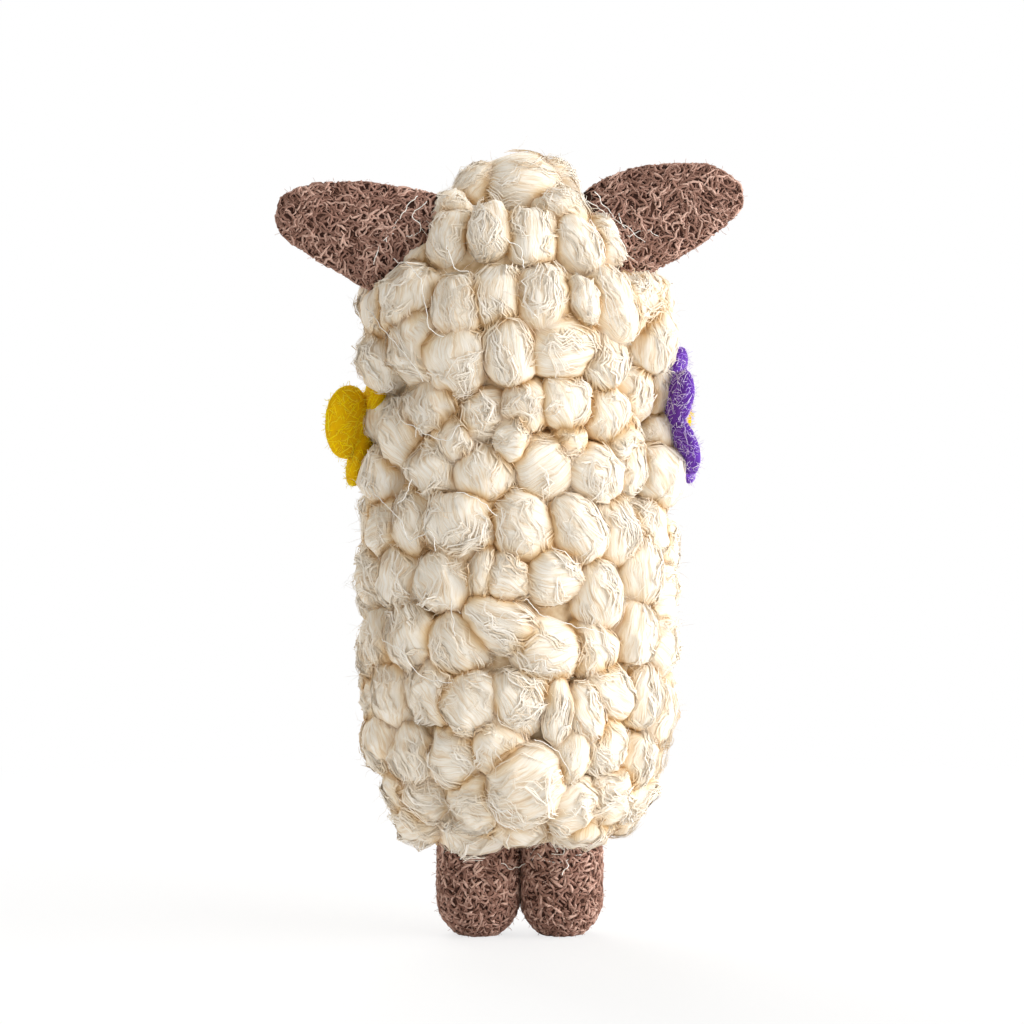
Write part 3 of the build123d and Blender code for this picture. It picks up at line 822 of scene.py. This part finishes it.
ear_hairs = [
    [(-9.1, 102), (-11.4, 100.6), (-12.5, 98.3), (-13.9, 97.2)], [(-10, 103.4), (-13.1, 99.7), (-17, 96.5)],
    [(-11.4, 98.8), (-13.1, 95.8), (-15.3, 94.1)],
    [(-13.5, 100.6), (-14.5, 97.4), (-17, 98.3), (-18.7, 97.2)],
    [(12, 102), (13.9, 100.2), (12.9, 98.3), (15, 96.5)],
    [(13.4, 102.7), (15.7, 99.7), (17.5, 97.2), (16.7, 95.5)], [(16.4, 97.9), (18.5, 95.8), (19.2, 93.3)],
]
hair_off_ear = 2.5 * mm
hair_lift = 0.6 * mm
hair_points = 26
kink_size, kink_reach = 1.4 * mm, 0.6 * mm
kink_loom = Loom("loose hairs", {"Paths": "Geometry", "Thickness": "Float", "Seed": "Int"})
strands = kink_loom.add("GeometryNodeMeshToCurve", {0: kink_loom.given["Paths"]})
strands = kink_loom.store(strands, "strand", kink_loom.add("GeometryNodeInputIndex"))
strands = kink_loom.add("GeometryNodeCurveSplineType", {0: strands}, spline_type="CATMULL_ROM")
strands = kink_loom.add("GeometryNodeResampleCurve", {0: strands, 2: hair_points})
kinks = kink_loom.drift(kink_loom.scaled(kink_loom.here(), 1 / kink_size), 2.0)
strands = kink_loom.add("GeometryNodeSetPosition", {0: strands, 3: kink_loom.scaled(kinks, kink_reach)})
strands = kink_loom.store(strands, "tone", 0.3)
strands = kink_loom.store(strands, "valley", 1.0)
strands = kink_loom.spun(strands, kink_loom.product(kink_loom.given["Thickness"], 0.5))
kink_tree = kink_loom.finish(strands, cream)


def on_leg(x, z):
    low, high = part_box("hind_leg_left" if x > 0 else "hind_leg_right")
    radius = (high.x - low.x) / 2
    off_middle = min(abs(x * mm - (low.x + high.x) / 2), radius)
    point = Vector((x, 0, z)) * mm
    point.y = (low.y + high.y) / 2 + math.sqrt(radius**2 - off_middle**2)
    return point


def on_ear(x, z):
    low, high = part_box("ear_left" if x > 0 else "ear_right")
    return Vector((x * mm, (low.y + high.y) / 2 + hair_off_ear, z * mm))


def path_mesh(name, paths):
    """A mesh of edges along each of these paths."""
    points, edges = [], []
    for path in paths:
        edges += [(len(points) + i, len(points) + i + 1) for i in range(len(path) - 1)]
        points += path
    mesh = bpy.data.meshes.new(name)
    mesh.from_pydata(points, edges, [])
    return mesh


paths = []
for routes, behind in ((loose_hairs, on_back), (leg_hairs, on_leg), (ear_hairs, on_ear)):
    for route in routes:
        points = [behind(x, z) for x, z in route]
        paths.append([point + outward(point) * hair_lift for point in points])
strays = dress(path_mesh("loose_hairs", paths), "loose_hairs", kink_tree, Thickness=0.15 * mm, Seed=1)
lay_bake_map(strays.data, [(0, 1)])
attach(strays, "root")

# The core. Two closed eggs of coarser wool are felted hard, and the curls are felted onto them. Only a
# little of it shows between the curls, and it is painted darker tan there, as the shade in the creases.
core_depth = 4.2 * mm
core_end = 3 * mm
core_grain = 700


def rounded_form(rings, sides=32, bare_from=0.0):
    """The points, faces and map values of a closed form through oval rings.

    Each ring is a middle and its two half axes. The form is bare of fibres up to a share of its length.
    """
    points, run, round_share = [], [], []
    for index, (middle, first, second) in enumerate(rings):
        for side in range(sides):
            angle = math.tau * side / sides
            points.append(middle + first * math.cos(angle) + second * math.sin(angle))
            run.append(index / len(rings))
            round_share.append(side / sides)
    faces = []
    for index in range(len(rings) - 1):
        for side in range(sides):
            low, high, after = index * sides, (index + 1) * sides, (side + 1) % sides
            faces.append((low + side, low + after, high + after, high + side))
    for ring, end in ((0, rings[0][0]), (len(rings) - 1, rings[-1][0])):
        points.append(end)
        run.append(ring / len(rings))
        round_share.append(0.5)
        for side in range(sides):
            corners = (ring * sides + side, ring * sides + (side + 1) % sides, len(points) - 1)
            faces.append(corners[::-1] if ring == 0 else corners)
    bare = [1.0 if share >= bare_from else 0.0 for share in run]
    return points, faces, run, round_share, bare


def form_mesh(name, forms):
    """One mesh of several rounded forms, each with a number of its own for the map."""
    points, faces = [], []
    values = {"run": [], "round": [], "bare": [], "strand": []}
    for number, (form_points, form_faces, run, round_share, bare) in enumerate(forms):
        faces += [tuple(len(points) + corner for corner in face) for face in form_faces]
        points += form_points
        values["run"] += run
        values["round"] += round_share
        values["bare"] += bare
        values["strand"] += [number] * len(run)
    mesh = bpy.data.meshes.new(name)
    mesh.from_pydata(points, [], faces)
    for label, numbers in values.items():
        mesh.attributes.new(label, "FLOAT", "POINT").data.foreach_set("value", numbers)
    mesh.update()
    outwards = sum(face.normal.dot(face.center - points[0]) * face.area for face in mesh.polygons)
    if outwards < 0:
        mesh.flip_normals()
    return mesh


def smooth_run(places, values, count):
    """Values at evenly spaced places on a smooth curve through the given ones."""
    places, values = np.array(places, float), np.array(values, float)
    slopes = np.gradient(values, places, axis=0)
    wanted = np.linspace(places[0], places[-1], count)
    low = np.clip(np.searchsorted(places, wanted, side="right") - 1, 0, len(places) - 2)
    gap = places[low + 1] - places[low]
    share = (wanted - places[low]) / gap
    if values.ndim > 1:
        gap, share = gap[:, None], share[:, None]
    return (
        (1 + 2 * share) * (1 - share) ** 2 * values[low] + share * (1 - share) ** 2 * gap * slopes[low]
        + share**2 * (3 - 2 * share) * values[low + 1] + share**2 * (share - 1) * gap * slopes[low + 1])


def plain_piece(name, mesh, material):
    """A smooth object of this mesh."""
    piece = in_scene(name, mesh)
    mesh.materials.append(material)
    mesh.shade_smooth()
    return piece


core_wool, shader = new_finish("core wool", 0.9, specular=0.25, sheen=0.1)
nodes = core_wool.node_tree
# Painted shade: the core is coloured a darker tan, like the shade in the creases between the curls.
core_shade_colour = colour_steps(nodes, shader_noise(nodes, on_object(nodes), core_grain), [
    (0.3, (0.5, 0.34, 0.18)), (0.5, (0.66, 0.5, 0.32)), (0.7, (0.78, 0.66, 0.48)),
])
nodes.links.new(core_shade_colour, shader.inputs["Base Color"])
for node in ("body_core", "head_core"):
    low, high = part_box(node)
    rings = []
    for z in np.linspace(low.z, high.z, 24):
        radius = fleece_half_width(z) - core_depth
        end = min(z - low.z, high.z - z) / core_end
        radius *= math.sqrt(1 - (1 - min(end + 0.05, 1)) ** 2)
        half_depth = radius * fleece_depth_share
        rings.append((Vector((0, 0, z)), Vector((radius, 0, 0)), Vector((0, half_depth, 0))))
    core = plain_piece(f"{node}_wool", form_mesh(node, [rounded_form(rings, sides=40)]), core_wool)
    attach(core, "root")
    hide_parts(node)

# The ears. Each is a thick leaf of felt, needled from brown wool and set into the side of the head. Kinked
# strands lie over it in all directions, painted pinkish as a highlight where they lie highest, with painted
# dark shade in the pits between them.
bump_size = 0.9 * mm
felt_hair_curl = 0.6 * mm
felt_hair_thickness = 0.06 * mm
loom = Loom("felted strands", {
    "Form": "Geometry", "Density": "Float", "Length": "Float", "Steps": "Int", "Thickness": "Float",
    "Kink": "Float", "Kink Size": "Float", "Lift": "Float", "Seed": "Int",
    "Hair Density": "Float", "Hair Length": "Float", "Material": "Material",
})
form = loom.given["Form"]
bumps = loom.drift(loom.scaled(loom.here(), 1 / bump_size))
bump = loom.parts(bumps)[0]
body = loom.add("GeometryNodeSetPosition", {0: form, 3: loom.scaled(
    loom.add("GeometryNodeInputNormal"), loom.product(bump, 0.5, loom.given["Lift"]))})
body = loom.add("GeometryNodeSetShadeSmooth", {0: body})
body = loom.store(body, "rise", loom.maths("MULTIPLY_ADD", bump, 0.2, 0.1))
body = loom.store(body, "tone", 0.2)


def scattered(density, seed):
    """Points all over the bare part of the form, each with the direction that the form faces there."""
    cloud = loom.tree.nodes.new("GeometryNodeDistributePointsOnFaces")
    loom.tree.links.new(form, cloud.inputs["Mesh"])
    loom.tree.links.new(loom.product(loom.read("bare"), density), cloud.inputs["Density"])
    loom.tree.links.new(loom.maths("ADD", loom.given["Seed"], seed), cloud.inputs["Seed"])
    return loom.store_vector(cloud.outputs["Points"], "out", cloud.outputs["Normal"])


laid = scattered(loom.given["Density"], 1)
out = loom.read_vector("out")
heading = loom.vectors("NORMALIZE", loom.vectors("CROSS_PRODUCT", out, loom.chance_vector(2)))
laid = loom.store_vector(laid, "heading", heading)
laid = loom.store_vector(laid, "stray", loom.chance_vector(3))
laid = loom.store(laid, "tone", loom.chance(0, 1, 4))
laid = loom.store(laid, "level", loom.chance(-0.5, 1, 5))
laid = loom.store(laid, "reach", loom.product(loom.given["Length"], loom.chance(0.5, 1.3, 6)))
laid = loom.store_vector(laid, "middle", loom.here())
laid = loom.strands(laid, loom.given["Steps"], fibre_floor)
run = loom.add("GeometryNodeSplineParameter")
along_it = loom.product(loom.maths("SUBTRACT", run, 0.5), loom.read("reach"))
place = loom.total(loom.read_vector("middle"), loom.scaled(loom.read_vector("heading"), along_it))
stray = loom.scaled(loom.read_vector("stray"), 9.0)
kink_place = loom.total(loom.scaled(place, loom.maths("DIVIDE", 1.0, loom.given["Kink Size"])), stray)
place = loom.total(place, loom.scaled(loom.drift(kink_place), loom.given["Kink"]))
touching = loom.add("GeometryNodeProximity", {0: form, 2: place}, target_element="FACES")
facing = loom.add("GeometryNodeSampleNearestSurface", {
    0: form, 1: loom.add("GeometryNodeInputNormal"), 3: place}, data_type="FLOAT_VECTOR")
wave = loom.parts(loom.drift(loom.scaled(kink_place, 0.7)))[1]
level = loom.maths("ADD", loom.read("level"), wave)
# The higher a strand lies, the lighter it is painted, as light and shade.
laid = loom.store(laid, "rise", loom.maths("MULTIPLY_ADD", level, 0.3, 0.5))
laid = loom.moved(laid, loom.total(touching, loom.scaled(facing, loom.product(level, loom.given["Lift"]))))
laid = loom.spun(laid, loom.product(loom.given["Thickness"], 0.5, tapered_ends(run)))

hairs = scattered(loom.given["Hair Density"], 7)
hairs = loom.store_vector(hairs, "root", loom.here())
heading = loom.vectors("NORMALIZE", loom.total(loom.scaled(out, 0.8), loom.chance_vector(8)))
hairs = loom.store_vector(hairs, "heading", heading)
hairs = loom.store(hairs, "reach", loom.product(loom.given["Hair Length"], loom.chance(0.3, 1.2, 9)))
hairs = loom.store(hairs, "tone", loom.chance(0.5, 1, 10))
hairs = loom.store(hairs, "rise", 0.8)
hairs = loom.strands(hairs, 4, hair_floor)
far = loom.product(run, loom.read("reach"))
place = loom.total(loom.read_vector("root"), loom.scaled(loom.read_vector("heading"), far))
curl = loom.scaled(loom.drift(loom.scaled(place, 1 / bump_size)), loom.product(run, felt_hair_curl))
hairs = loom.moved(hairs, loom.total(place, curl))
hairs = loom.spun(hairs, felt_hair_thickness / 2)
wool = loom.join(body, laid, hairs)
x, y, z = loom.parts(loom.here())
wool = loom.moved(wool, loom.vector(x, y, loom.maths("MAXIMUM", z, 0.0)))
felt_tree = loom.finish(wool, loom.given["Material"])

# Painted light and shade: a strand of felt is painted the lighter, the higher it lies, and it has a tone of
# its own.
strand_shade = bpy.data.node_groups.new("strand shade", "ShaderNodeTree")
for label in ("Share of Height", "Share of Tone"):
    strand_shade.interface.new_socket(label, in_out="INPUT", socket_type="NodeSocketFloat")
strand_shade.interface.new_socket("Shade", in_out="OUTPUT", socket_type="NodeSocketFloat")
shares = strand_shade.nodes.new("NodeGroupInput").outputs
by_height = shader_maths(
    strand_shade, "MULTIPLY", surface_value(strand_shade, "rise"), shares["Share of Height"])
by_both = shader_maths(
    strand_shade, "MULTIPLY_ADD", surface_value(strand_shade, "tone"), shares["Share of Tone"], by_height)
strand_shade.links.new(by_both, strand_shade.nodes.new("NodeGroupOutput").inputs["Shade"])


def felt_material(name, colours):
    """Felt with painted shade in its pits, in the first of these colours, and painted highlight on its
    highest strands, in the last.
    """
    material, shader = new_finish(name, 0.85, specular=0.12)
    tree = material.node_tree
    shade = tree.nodes.new("ShaderNodeGroup")
    shade.node_tree = strand_shade
    shade.inputs["Share of Height"].default_value = 0.7
    shade.inputs["Share of Tone"].default_value = 0.45
    steps = [(0.12 + 0.78 * i / (len(colours) - 1), colour) for i, colour in enumerate(colours)]
    tree.links.new(colour_steps(tree, shade.outputs["Shade"], steps), shader.inputs["Base Color"])
    return material


def felted(node, forms, material, slot, seed, **settings):
    """The felt piece that stands for this node."""
    values = {**coarse_felt, **settings}
    piece = dress(form_mesh(node, forms), f"{node}_felt", felt_tree, Seed=seed, Material=material, **values)
    lay_bake_map(piece.data, [(0, 0.4), (fibre_floor, 0.9), (hair_floor, 1)])
    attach(piece, "root")
    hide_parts(node)


coarse_felt = {
    "Density": 2.5e6, "Length": 2.6 * mm, "Steps": 9, "Thickness": 0.42 * mm, "Kink": 0.9 * mm,
    "Kink_Size": 0.85 * mm, "Lift": 0.18 * mm, "Hair_Density": 0.9e6, "Hair_Length": 0.9 * mm,
}
brown = felt_material("brown felt", [
    (0.028, 0.011, 0.008), (0.12, 0.055, 0.038), (0.26, 0.14, 0.105), (0.38, 0.215, 0.168),
    (0.66, 0.44, 0.36),
])
# Where each ear reaches outwards, and its lower and upper edge there, in millimetres as seen from behind.
left_ear_edges = [
    (10, 91.5, 103), (14, 90.2, 103.9), (18, 90, 104.5), (21, 90.6, 104.9), (24, 92.4, 105),
    (27.5, 94.4, 104.7), (30, 96.1, 104.2), (31.6, 97.2, 103.4), (32.6, 98.4, 102.5), (33.1, 100.4, 100.4),
]
right_ear_edges = [
    (-9, 92, 103.6), (-13, 91.3, 105.9), (-17, 92.2, 107), (-21.1, 94.2, 107.4), (-25.3, 96.8, 107.4),
    (-27.6, 98.5, 106.7), (-29.5, 100.2, 105.4), (-30.6, 101.7, 104.2), (-30.8, 102.9, 102.9),
]
ear_thickness = 5.4
ear_root_share = 0.03
for name, edges, seed in (("left", left_ear_edges, 31), ("right", right_ear_edges, 32)):
    low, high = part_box(f"ear_{name}")
    edges = smooth_run(range(len(edges)), edges, 40)
    widest = max(upper - lower for _, lower, upper in edges)
    rings = []
    for x, lower, upper in edges:
        half_width = max((upper - lower) / 2, 0.05)
        middle = Vector((x * mm, (low.y + high.y) / 2, (lower + upper) / 2 * mm))
        half_thickness = ear_thickness / 2 * (2 * half_width / widest) ** 0.8
        rings.append((middle, Vector((0, half_thickness, 0)) * mm, Vector((0, 0, half_width)) * mm))
    felted(f"ear_{name}", [rounded_form(rings, bare_from=ear_root_share)], brown, "brown_felt", seed)

# The hind legs. Two blunt stumps of finer brown felt are set into the hem side by side, a little wider at
# the foot, and cut flat where they rest.
blunt_end = 6 * mm
flat_cut = 0.5 * mm
leg_flare = 0.1 * mm
stump_rings = 36
fine_felt = {
    "Density": 3.8e6, "Length": 1.5 * mm, "Steps": 5, "Thickness": 0.46 * mm, "Kink": 0.4 * mm,
    "Kink_Size": 0.7 * mm, "Lift": 0.12 * mm,
}


def stump(foot, direction, radius, root_radius, length, root_share):
    """A felt limb from its foot along a direction, blunt at the foot, tapered and with a bare root."""
    across = direction.orthogonal().normalized()
    other = direction.cross(across)
    rings = []
    for i in range(stump_rings):
        height = length * (i / (stump_rings - 1)) ** 1.4
        inward = max(1 - (height + flat_cut) / blunt_end, 0)
        reach = (radius + (root_radius - radius) * height / length) * math.sqrt(1 - inward**2)
        rings.append((foot + direction * height, across * reach, other * reach))
    points, faces, run, round_share, _ = rounded_form(rings)
    bare = [1.0 if share < 1 - root_share else 0.0 for share in run]
    return points, faces, run, round_share, bare


for name, seed in (("left", 41), ("right", 42)):
    low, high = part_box(f"hind_leg_{name}")
    middle = (low + high) / 2
    foot = Vector((middle.x, middle.y, low.z))
    radius = (high.x - low.x) / 2
    upright, length = Vector((0, 0, 1)), high.z - low.z
    leg = stump(foot, upright, radius + leg_flare, radius - leg_flare, length, root_share=0.1)
    felted(f"hind_leg_{name}", [leg], brown, "brown_felt", seed, **fine_felt)

# The front legs. Two thinner stumps of the same felt are held against the chest, their feet down and their
# roots set into the fleece.
arm_lean = math.radians(35)
arm_radius = 4.1 * mm
arm_root_radius = 3.7 * mm
arm_direction = Vector((0, math.sin(arm_lean), math.cos(arm_lean)))
for name, seed in (("left", 51), ("right", 52)):
    low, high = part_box(f"front_leg_{name}")
    foot_y = low.y + arm_radius * math.cos(arm_lean)
    foot = Vector(((low.x + high.x) / 2, foot_y, low.z + arm_radius * math.sin(arm_lean)))
    arm_length = (high.z - foot.z) / arm_direction.z
    arm = stump(foot, arm_direction, arm_radius, arm_root_radius, arm_length, root_share=0.2)
    felted(f"front_leg_{name}", [arm], brown, "brown_felt", seed, **fine_felt)

# The face. An egg of the same felt is set in the front of the head, its blunt end the muzzle. Each station
# is a share of the depth, of the full size and of the muzzle's drop.
face_stations = [
    (-0.02, 0.05, 1), (0, 0.42, 1), (0.07, 0.6, 0.95), (0.22, 0.8, 0.8), (0.46, 0.94, 0.4), (0.75, 1, 0.1),
    (1, 0.96, 0),
]
face_half_width = (face_high.x - face_low.x) / 2
face_felt = {**fine_felt, "Density": 2.1e6, "Lift": 0.08 * mm}
face_half_height = 14.2 * mm
muzzle_drop = 3.2 * mm
face_rings = []
for depth, size, drop in smooth_run(range(len(face_stations)), face_stations, 44):
    y = face_low.y + depth * (face_high.y - face_low.y)
    middle = Vector((0, y, face_high.z - face_half_height - muzzle_drop * drop))
    across, upright = Vector((face_half_width * size, 0, 0)), Vector((0, 0, face_half_height * size))
    face_rings.append((middle, across, upright))
felted("face", [rounded_form(face_rings, sides=48)], brown, "brown_felt", 61, **face_felt)

# The eyes. Two black glass beads are sewn into the felt, half sunk. They are glossy, with a faint smear from
# the maker's fingers.
bead_smear_scale = 900
cleanest, dullest = 0.05, 0.14
bead_black, shader = new_finish("black bead", dullest, specular=0.5)
shader.inputs["Base Color"].default_value = (0.004, 0.004, 0.005, 1)
shader.inputs["Coat Weight"].default_value = 0.6
nodes = bead_black.node_tree
smear = shader_noise(nodes, on_object(nodes), bead_smear_scale)
smear = shader_maths(nodes, "MULTIPLY_ADD", smear, dullest - cleanest, cleanest)
nodes.links.new(smear, shader.inputs["Roughness"])


def ring_angles(count):
    """How far round a half circle each ring of a ball lies, without its ends."""
    return [math.pi * i / count for i in range(1, count)]


for name in ("eye_left", "eye_right"):
    low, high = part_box(name)
    middle, radius = (low + high) / 2, (high.x - low.x) / 2
    rings = []
    for angle in ring_angles(24):
        reach = radius * math.sin(angle)
        centre = middle - Vector((0, 0, radius * math.cos(angle)))
        rings.append((centre, Vector((reach, 0, 0)), Vector((0, reach, 0))))
    eye = plain_piece(f"{name}_bead", form_mesh(name, [rounded_form(rings)]), bead_black)
    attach(eye, "root")
    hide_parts(name)

# The nose and the mouth. Dark thread is laid side by side over the tip of the muzzle, and one long stitch
# and two bowed ones are pulled through below it.
twist_scale = 900
thread_loom = Loom("sewn thread", {"Paths": "Geometry", "Thickness": "Float", "Seed": "Int"})
threads = thread_loom.add("GeometryNodeMeshToCurve", {0: thread_loom.given["Paths"]})
threads = thread_loom.store(threads, "strand", 0.0)
ring = thread_loom.add("GeometryNodeCurvePrimitiveCircle", {0: 10, 4: 1.0})
threads = thread_loom.add("GeometryNodeCurveToMesh", {
    0: threads, 1: ring, 2: thread_loom.product(thread_loom.given["Thickness"], 0.5), 3: True})
threads = thread_loom.add("GeometryNodeSetShadeSmooth", {0: threads})
dark_thread, shader = new_finish("dark thread", 0.6, specular=0.25, sheen=0.2)
nodes = dark_thread.node_tree
twist_lines = nodes.nodes.new("ShaderNodeTexWave")
twist_lines.bands_direction = "DIAGONAL"
twist_lines.inputs["Scale"].default_value = twist_scale
nodes.links.new(on_object(nodes), twist_lines.inputs["Vector"])
thread_steps = [(0.2, (0.012, 0.006, 0.005)), (0.8, (0.05, 0.03, 0.025))]
thread_colour = colour_steps(nodes, twist_lines.outputs["Fac"], thread_steps)
nodes.links.new(thread_colour, shader.inputs["Base Color"])
thread_tree = thread_loom.finish(threads, dark_thread)


def sewn(node, paths, thickness):
    """The stitches that stand for this node, each laid along its path."""
    piece = dress(path_mesh(node, paths), f"{node}_thread", thread_tree, Thickness=thickness, Seed=0)
    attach(piece, "root")
    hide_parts(node)


nose_low, nose_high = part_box("nose")
thread_thickness = 0.42 * mm
nose_stitches = 9
paths = []
for i in range(nose_stitches):
    share = (i + 0.5) / nose_stitches
    z = nose_high.z - share * (nose_high.z - nose_low.z)
    half_width = (nose_high.x - nose_low.x) / 2 * (1 - 0.88 * share)
    path = []
    for turn in np.linspace(-1, 1, 9):
        bulge = (nose_high.y - nose_low.y) * math.sqrt(1 - 0.98 * turn**2)
        path.append(Vector((half_width * turn, nose_high.y + 0.1 * mm - bulge, z)))
    paths.append(path)
sewn("nose", paths, thread_thickness)
mouth_low, mouth_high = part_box("mouth")
mouth_lift = 0.25 * mm
fork_drop = 1.6 * mm
corner_setback = 0.2 * mm
mouth_sag = 0.25 * mm
mouth_y = mouth_low.y - mouth_lift
fork = Vector((0, mouth_y, mouth_high.z - fork_drop))
paths = [[Vector((0, mouth_y, mouth_high.z)), fork]]
for reach in (mouth_low.x, mouth_high.x):
    corner = Vector((reach, mouth_y + corner_setback, mouth_low.z))
    bow = (fork + corner) / 2 - Vector((0, 0, mouth_sag))
    paths.append([fork + (bow - fork) * share * 2 if share < 0.5 else bow + (corner - bow) * (share * 2 - 1)
                  for share in np.linspace(0, 1, 7)])
sewn("mouth", paths, 1.3 * thread_thickness)

# The flowers. Five puffy petals of soft felt are needled round a flattened felt ball and stitched to the
# flank. Each petal has a turn from upright, a length, a half width and a cup away from the fleece.
yellow = felt_material("yellow felt", [
    (0.72, 0.4, 0.0), (0.91, 0.62, 0.0), (0.96, 0.73, 0.0), (0.97, 0.77, 0.01), (0.98, 0.82, 0.06)])
orange = felt_material("orange felt", [
    (0.4, 0.1, 0.0), (0.6, 0.2, 0.005), (0.72, 0.28, 0.01), (0.8, 0.36, 0.02), (0.88, 0.5, 0.08)])
purple = felt_material("purple felt", [
    (0.1, 0.03, 0.3), (0.18, 0.06, 0.5), (0.26, 0.11, 0.63), (0.42, 0.27, 0.76), (0.9, 0.84, 0.97)])
petal_length = 8.8
petal_half_width = 4.2
petal_half_thickness = 1.5
petal_start = 1.4
ball_flatness = 0.5
soft_felt = {
    "Density": 1.3e6, "Length": 2.2 * mm, "Steps": 6, "Thickness": 0.16 * mm, "Kink": 0.5 * mm,
    "Lift": 0.03 * mm, "Hair_Density": 2.2e6, "Hair_Length": 0.8 * mm,
}
flower_plans = {
    "yellow": (1, yellow, "yellow_felt", orange, "orange_felt", [
        (51, 0.84, 0.95, -24), (123, 1, 1, 10), (193, 0.96, 0.9, 16), (265, 0.92, 1.22, 42),
        (339, 0.8, 1, -24),
    ]),
    "purple": (-1, purple, "purple_felt", yellow, "yellow_felt", [
        (58, 0.95, 0.95, 20), (130, 1, 1, 26), (202, 1, 1, 24), (274, 0.95, 1, 22), (346, 1, 0.9, 14),
    ]),
}
for name, (side, felt, slot, ball_felt, ball_slot, petals) in flower_plans.items():
    low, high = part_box(f"{name}_flower_petals")
    flank = low.x if side > 0 else high.x
    ball_low, ball_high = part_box(f"{name}_flower_centre")
    hub = Vector((flank, (ball_low.y + ball_high.y) / 2, (ball_low.z + ball_high.z) / 2))
    face_out = Vector((side, 0, 0))
    forms = []
    for turn, long, wide, cup in petals:
        turn, cup = math.radians(turn), math.radians(cup)
        flat = Vector((0, -side * math.sin(turn), math.cos(turn)))
        direction = flat * math.cos(cup) + face_out * math.sin(cup)
        across = direction.cross(face_out).normalized()
        thick = across.cross(direction).normalized()
        start = hub + flat * petal_start * mm + face_out * petal_half_thickness * mm
        rings = []
        for angle in ring_angles(20):
            swell = math.sin(angle) ** 0.8
            place = start + direction * petal_length * mm * long * (1 - math.cos(angle)) / 2
            half_width = across * petal_half_width * mm * wide * swell
            rings.append((place, half_width, thick * petal_half_thickness * mm * swell))
        forms.append(rounded_form(rings, sides=24))
    felted(f"{name}_flower_petals", forms, felt, slot, 71 + side, **soft_felt)
    middle, radius = (ball_low + ball_high) / 2, (ball_high.z - ball_low.z) / 2
    rings = []
    for angle in ring_angles(20):
        reach = radius * math.sin(angle)
        centre = middle - face_out * radius * ball_flatness * math.cos(angle)
        rings.append((centre, Vector((0, reach, 0)), Vector((0, 0, reach))))
    felted(f"{name}_flower_centre", [rounded_form(rings)], ball_felt, ball_slot, 75 + side, **soft_felt)

# The floor and the light. The sheep stands on a plain white floor that fades into a white room. A broad lamp
# stands on the right, a second one low beside it, a weak one on the left and one in front, with pale light
# all round.
floor_reach = 0.45
floor_sides = 64
angles = [math.tau * side / floor_sides for side in range(floor_sides)]
corners = [(floor_reach * math.cos(angle), floor_reach * math.sin(angle), 0) for angle in angles]
floor_mesh = bpy.data.meshes.new("floor")
floor_mesh.from_pydata(corners, [], [range(floor_sides)])
floor = in_scene("floor", floor_mesh)


def mix_for_camera(tree, share, unseen, seen, output):
    """Show the camera this share of one shader in place of the other."""
    mixed = tree.nodes.new("ShaderNodeMixShader")
    tree.links.new(share, mixed.inputs[0])
    tree.links.new(unseen.outputs[0], mixed.inputs[1])
    tree.links.new(seen.outputs[0], mixed.inputs[2])
    tree.links.new(mixed.outputs[0], tree.nodes[output].inputs["Surface"])


floor_paint = bpy.data.materials.new("white floor")
floor_paint.use_nodes = True
nodes = floor_paint.node_tree
shader = nodes.nodes["Principled BSDF"]
shader.inputs["Base Color"].default_value = (0.9, 0.9, 0.9, 1)
shader.inputs["Roughness"].default_value = 0.9
glow = nodes.nodes.new("ShaderNodeEmission")
seen_part = nodes.nodes.new("ShaderNodeLightPath")
distance = nodes.nodes.new("ShaderNodeVectorMath")
distance.operation = "LENGTH"
nodes.links.new(on_object(nodes), distance.inputs[0])
far_white = nodes.nodes.new("ShaderNodeMapRange")
far_white.inputs["From Min"].default_value = 0.03
far_white.inputs["From Max"].default_value = 0.2
far_white.inputs["To Min"].default_value = 0.75
far_white.inputs["To Max"].default_value = 1
nodes.links.new(distance.outputs["Value"], far_white.inputs["Value"])
share = shader_maths(nodes, "MULTIPLY", seen_part.outputs["Is Camera Ray"], far_white.outputs[0])
mix_for_camera(nodes, share, shader, glow, "Material Output")
floor_mesh.materials.append(floor_paint)

world = bpy.data.worlds.new("studio")
bpy.context.scene.world = world
world.use_nodes = True
nodes = world.node_tree
pale = nodes.nodes["Background"]
pale.inputs["Color"].default_value = (1, 0.95, 0.88, 1)
pale.inputs["Strength"].default_value = 0.46
white = nodes.nodes.new("ShaderNodeBackground")
white.inputs["Color"].default_value = (1, 1, 1, 1)
white.inputs["Strength"].default_value = 1
seen_part = nodes.nodes.new("ShaderNodeLightPath")
mix_for_camera(nodes, seen_part.outputs["Is Camera Ray"], pale, white, "World Output")

# Each lamp has a place and a size in metres, and a power in watts.
lamps = [
    ("key", (-1.25, 0.6, 0.6), 1.4, 22), ("fill", (1, 1, 0.4), 0.8, 1.6), ("front", (0.3, -1, 0.9), 0.8, 12),
    ("low", (-1.3, 0.15, 0.1), 1.4, 13),
]
for name, place, size, power in lamps:
    lamp_data = bpy.data.lights.new(name, "AREA")
    lamp_data.size = size
    lamp_data.energy = power
    lamp = in_scene(name, lamp_data)
    lamp.location = place
    lamp.rotation_euler = (Vector(place) - view_target).to_track_quat("Z", "Y").to_euler()
bpy.context.scene.view_settings.view_transform = "Standard"
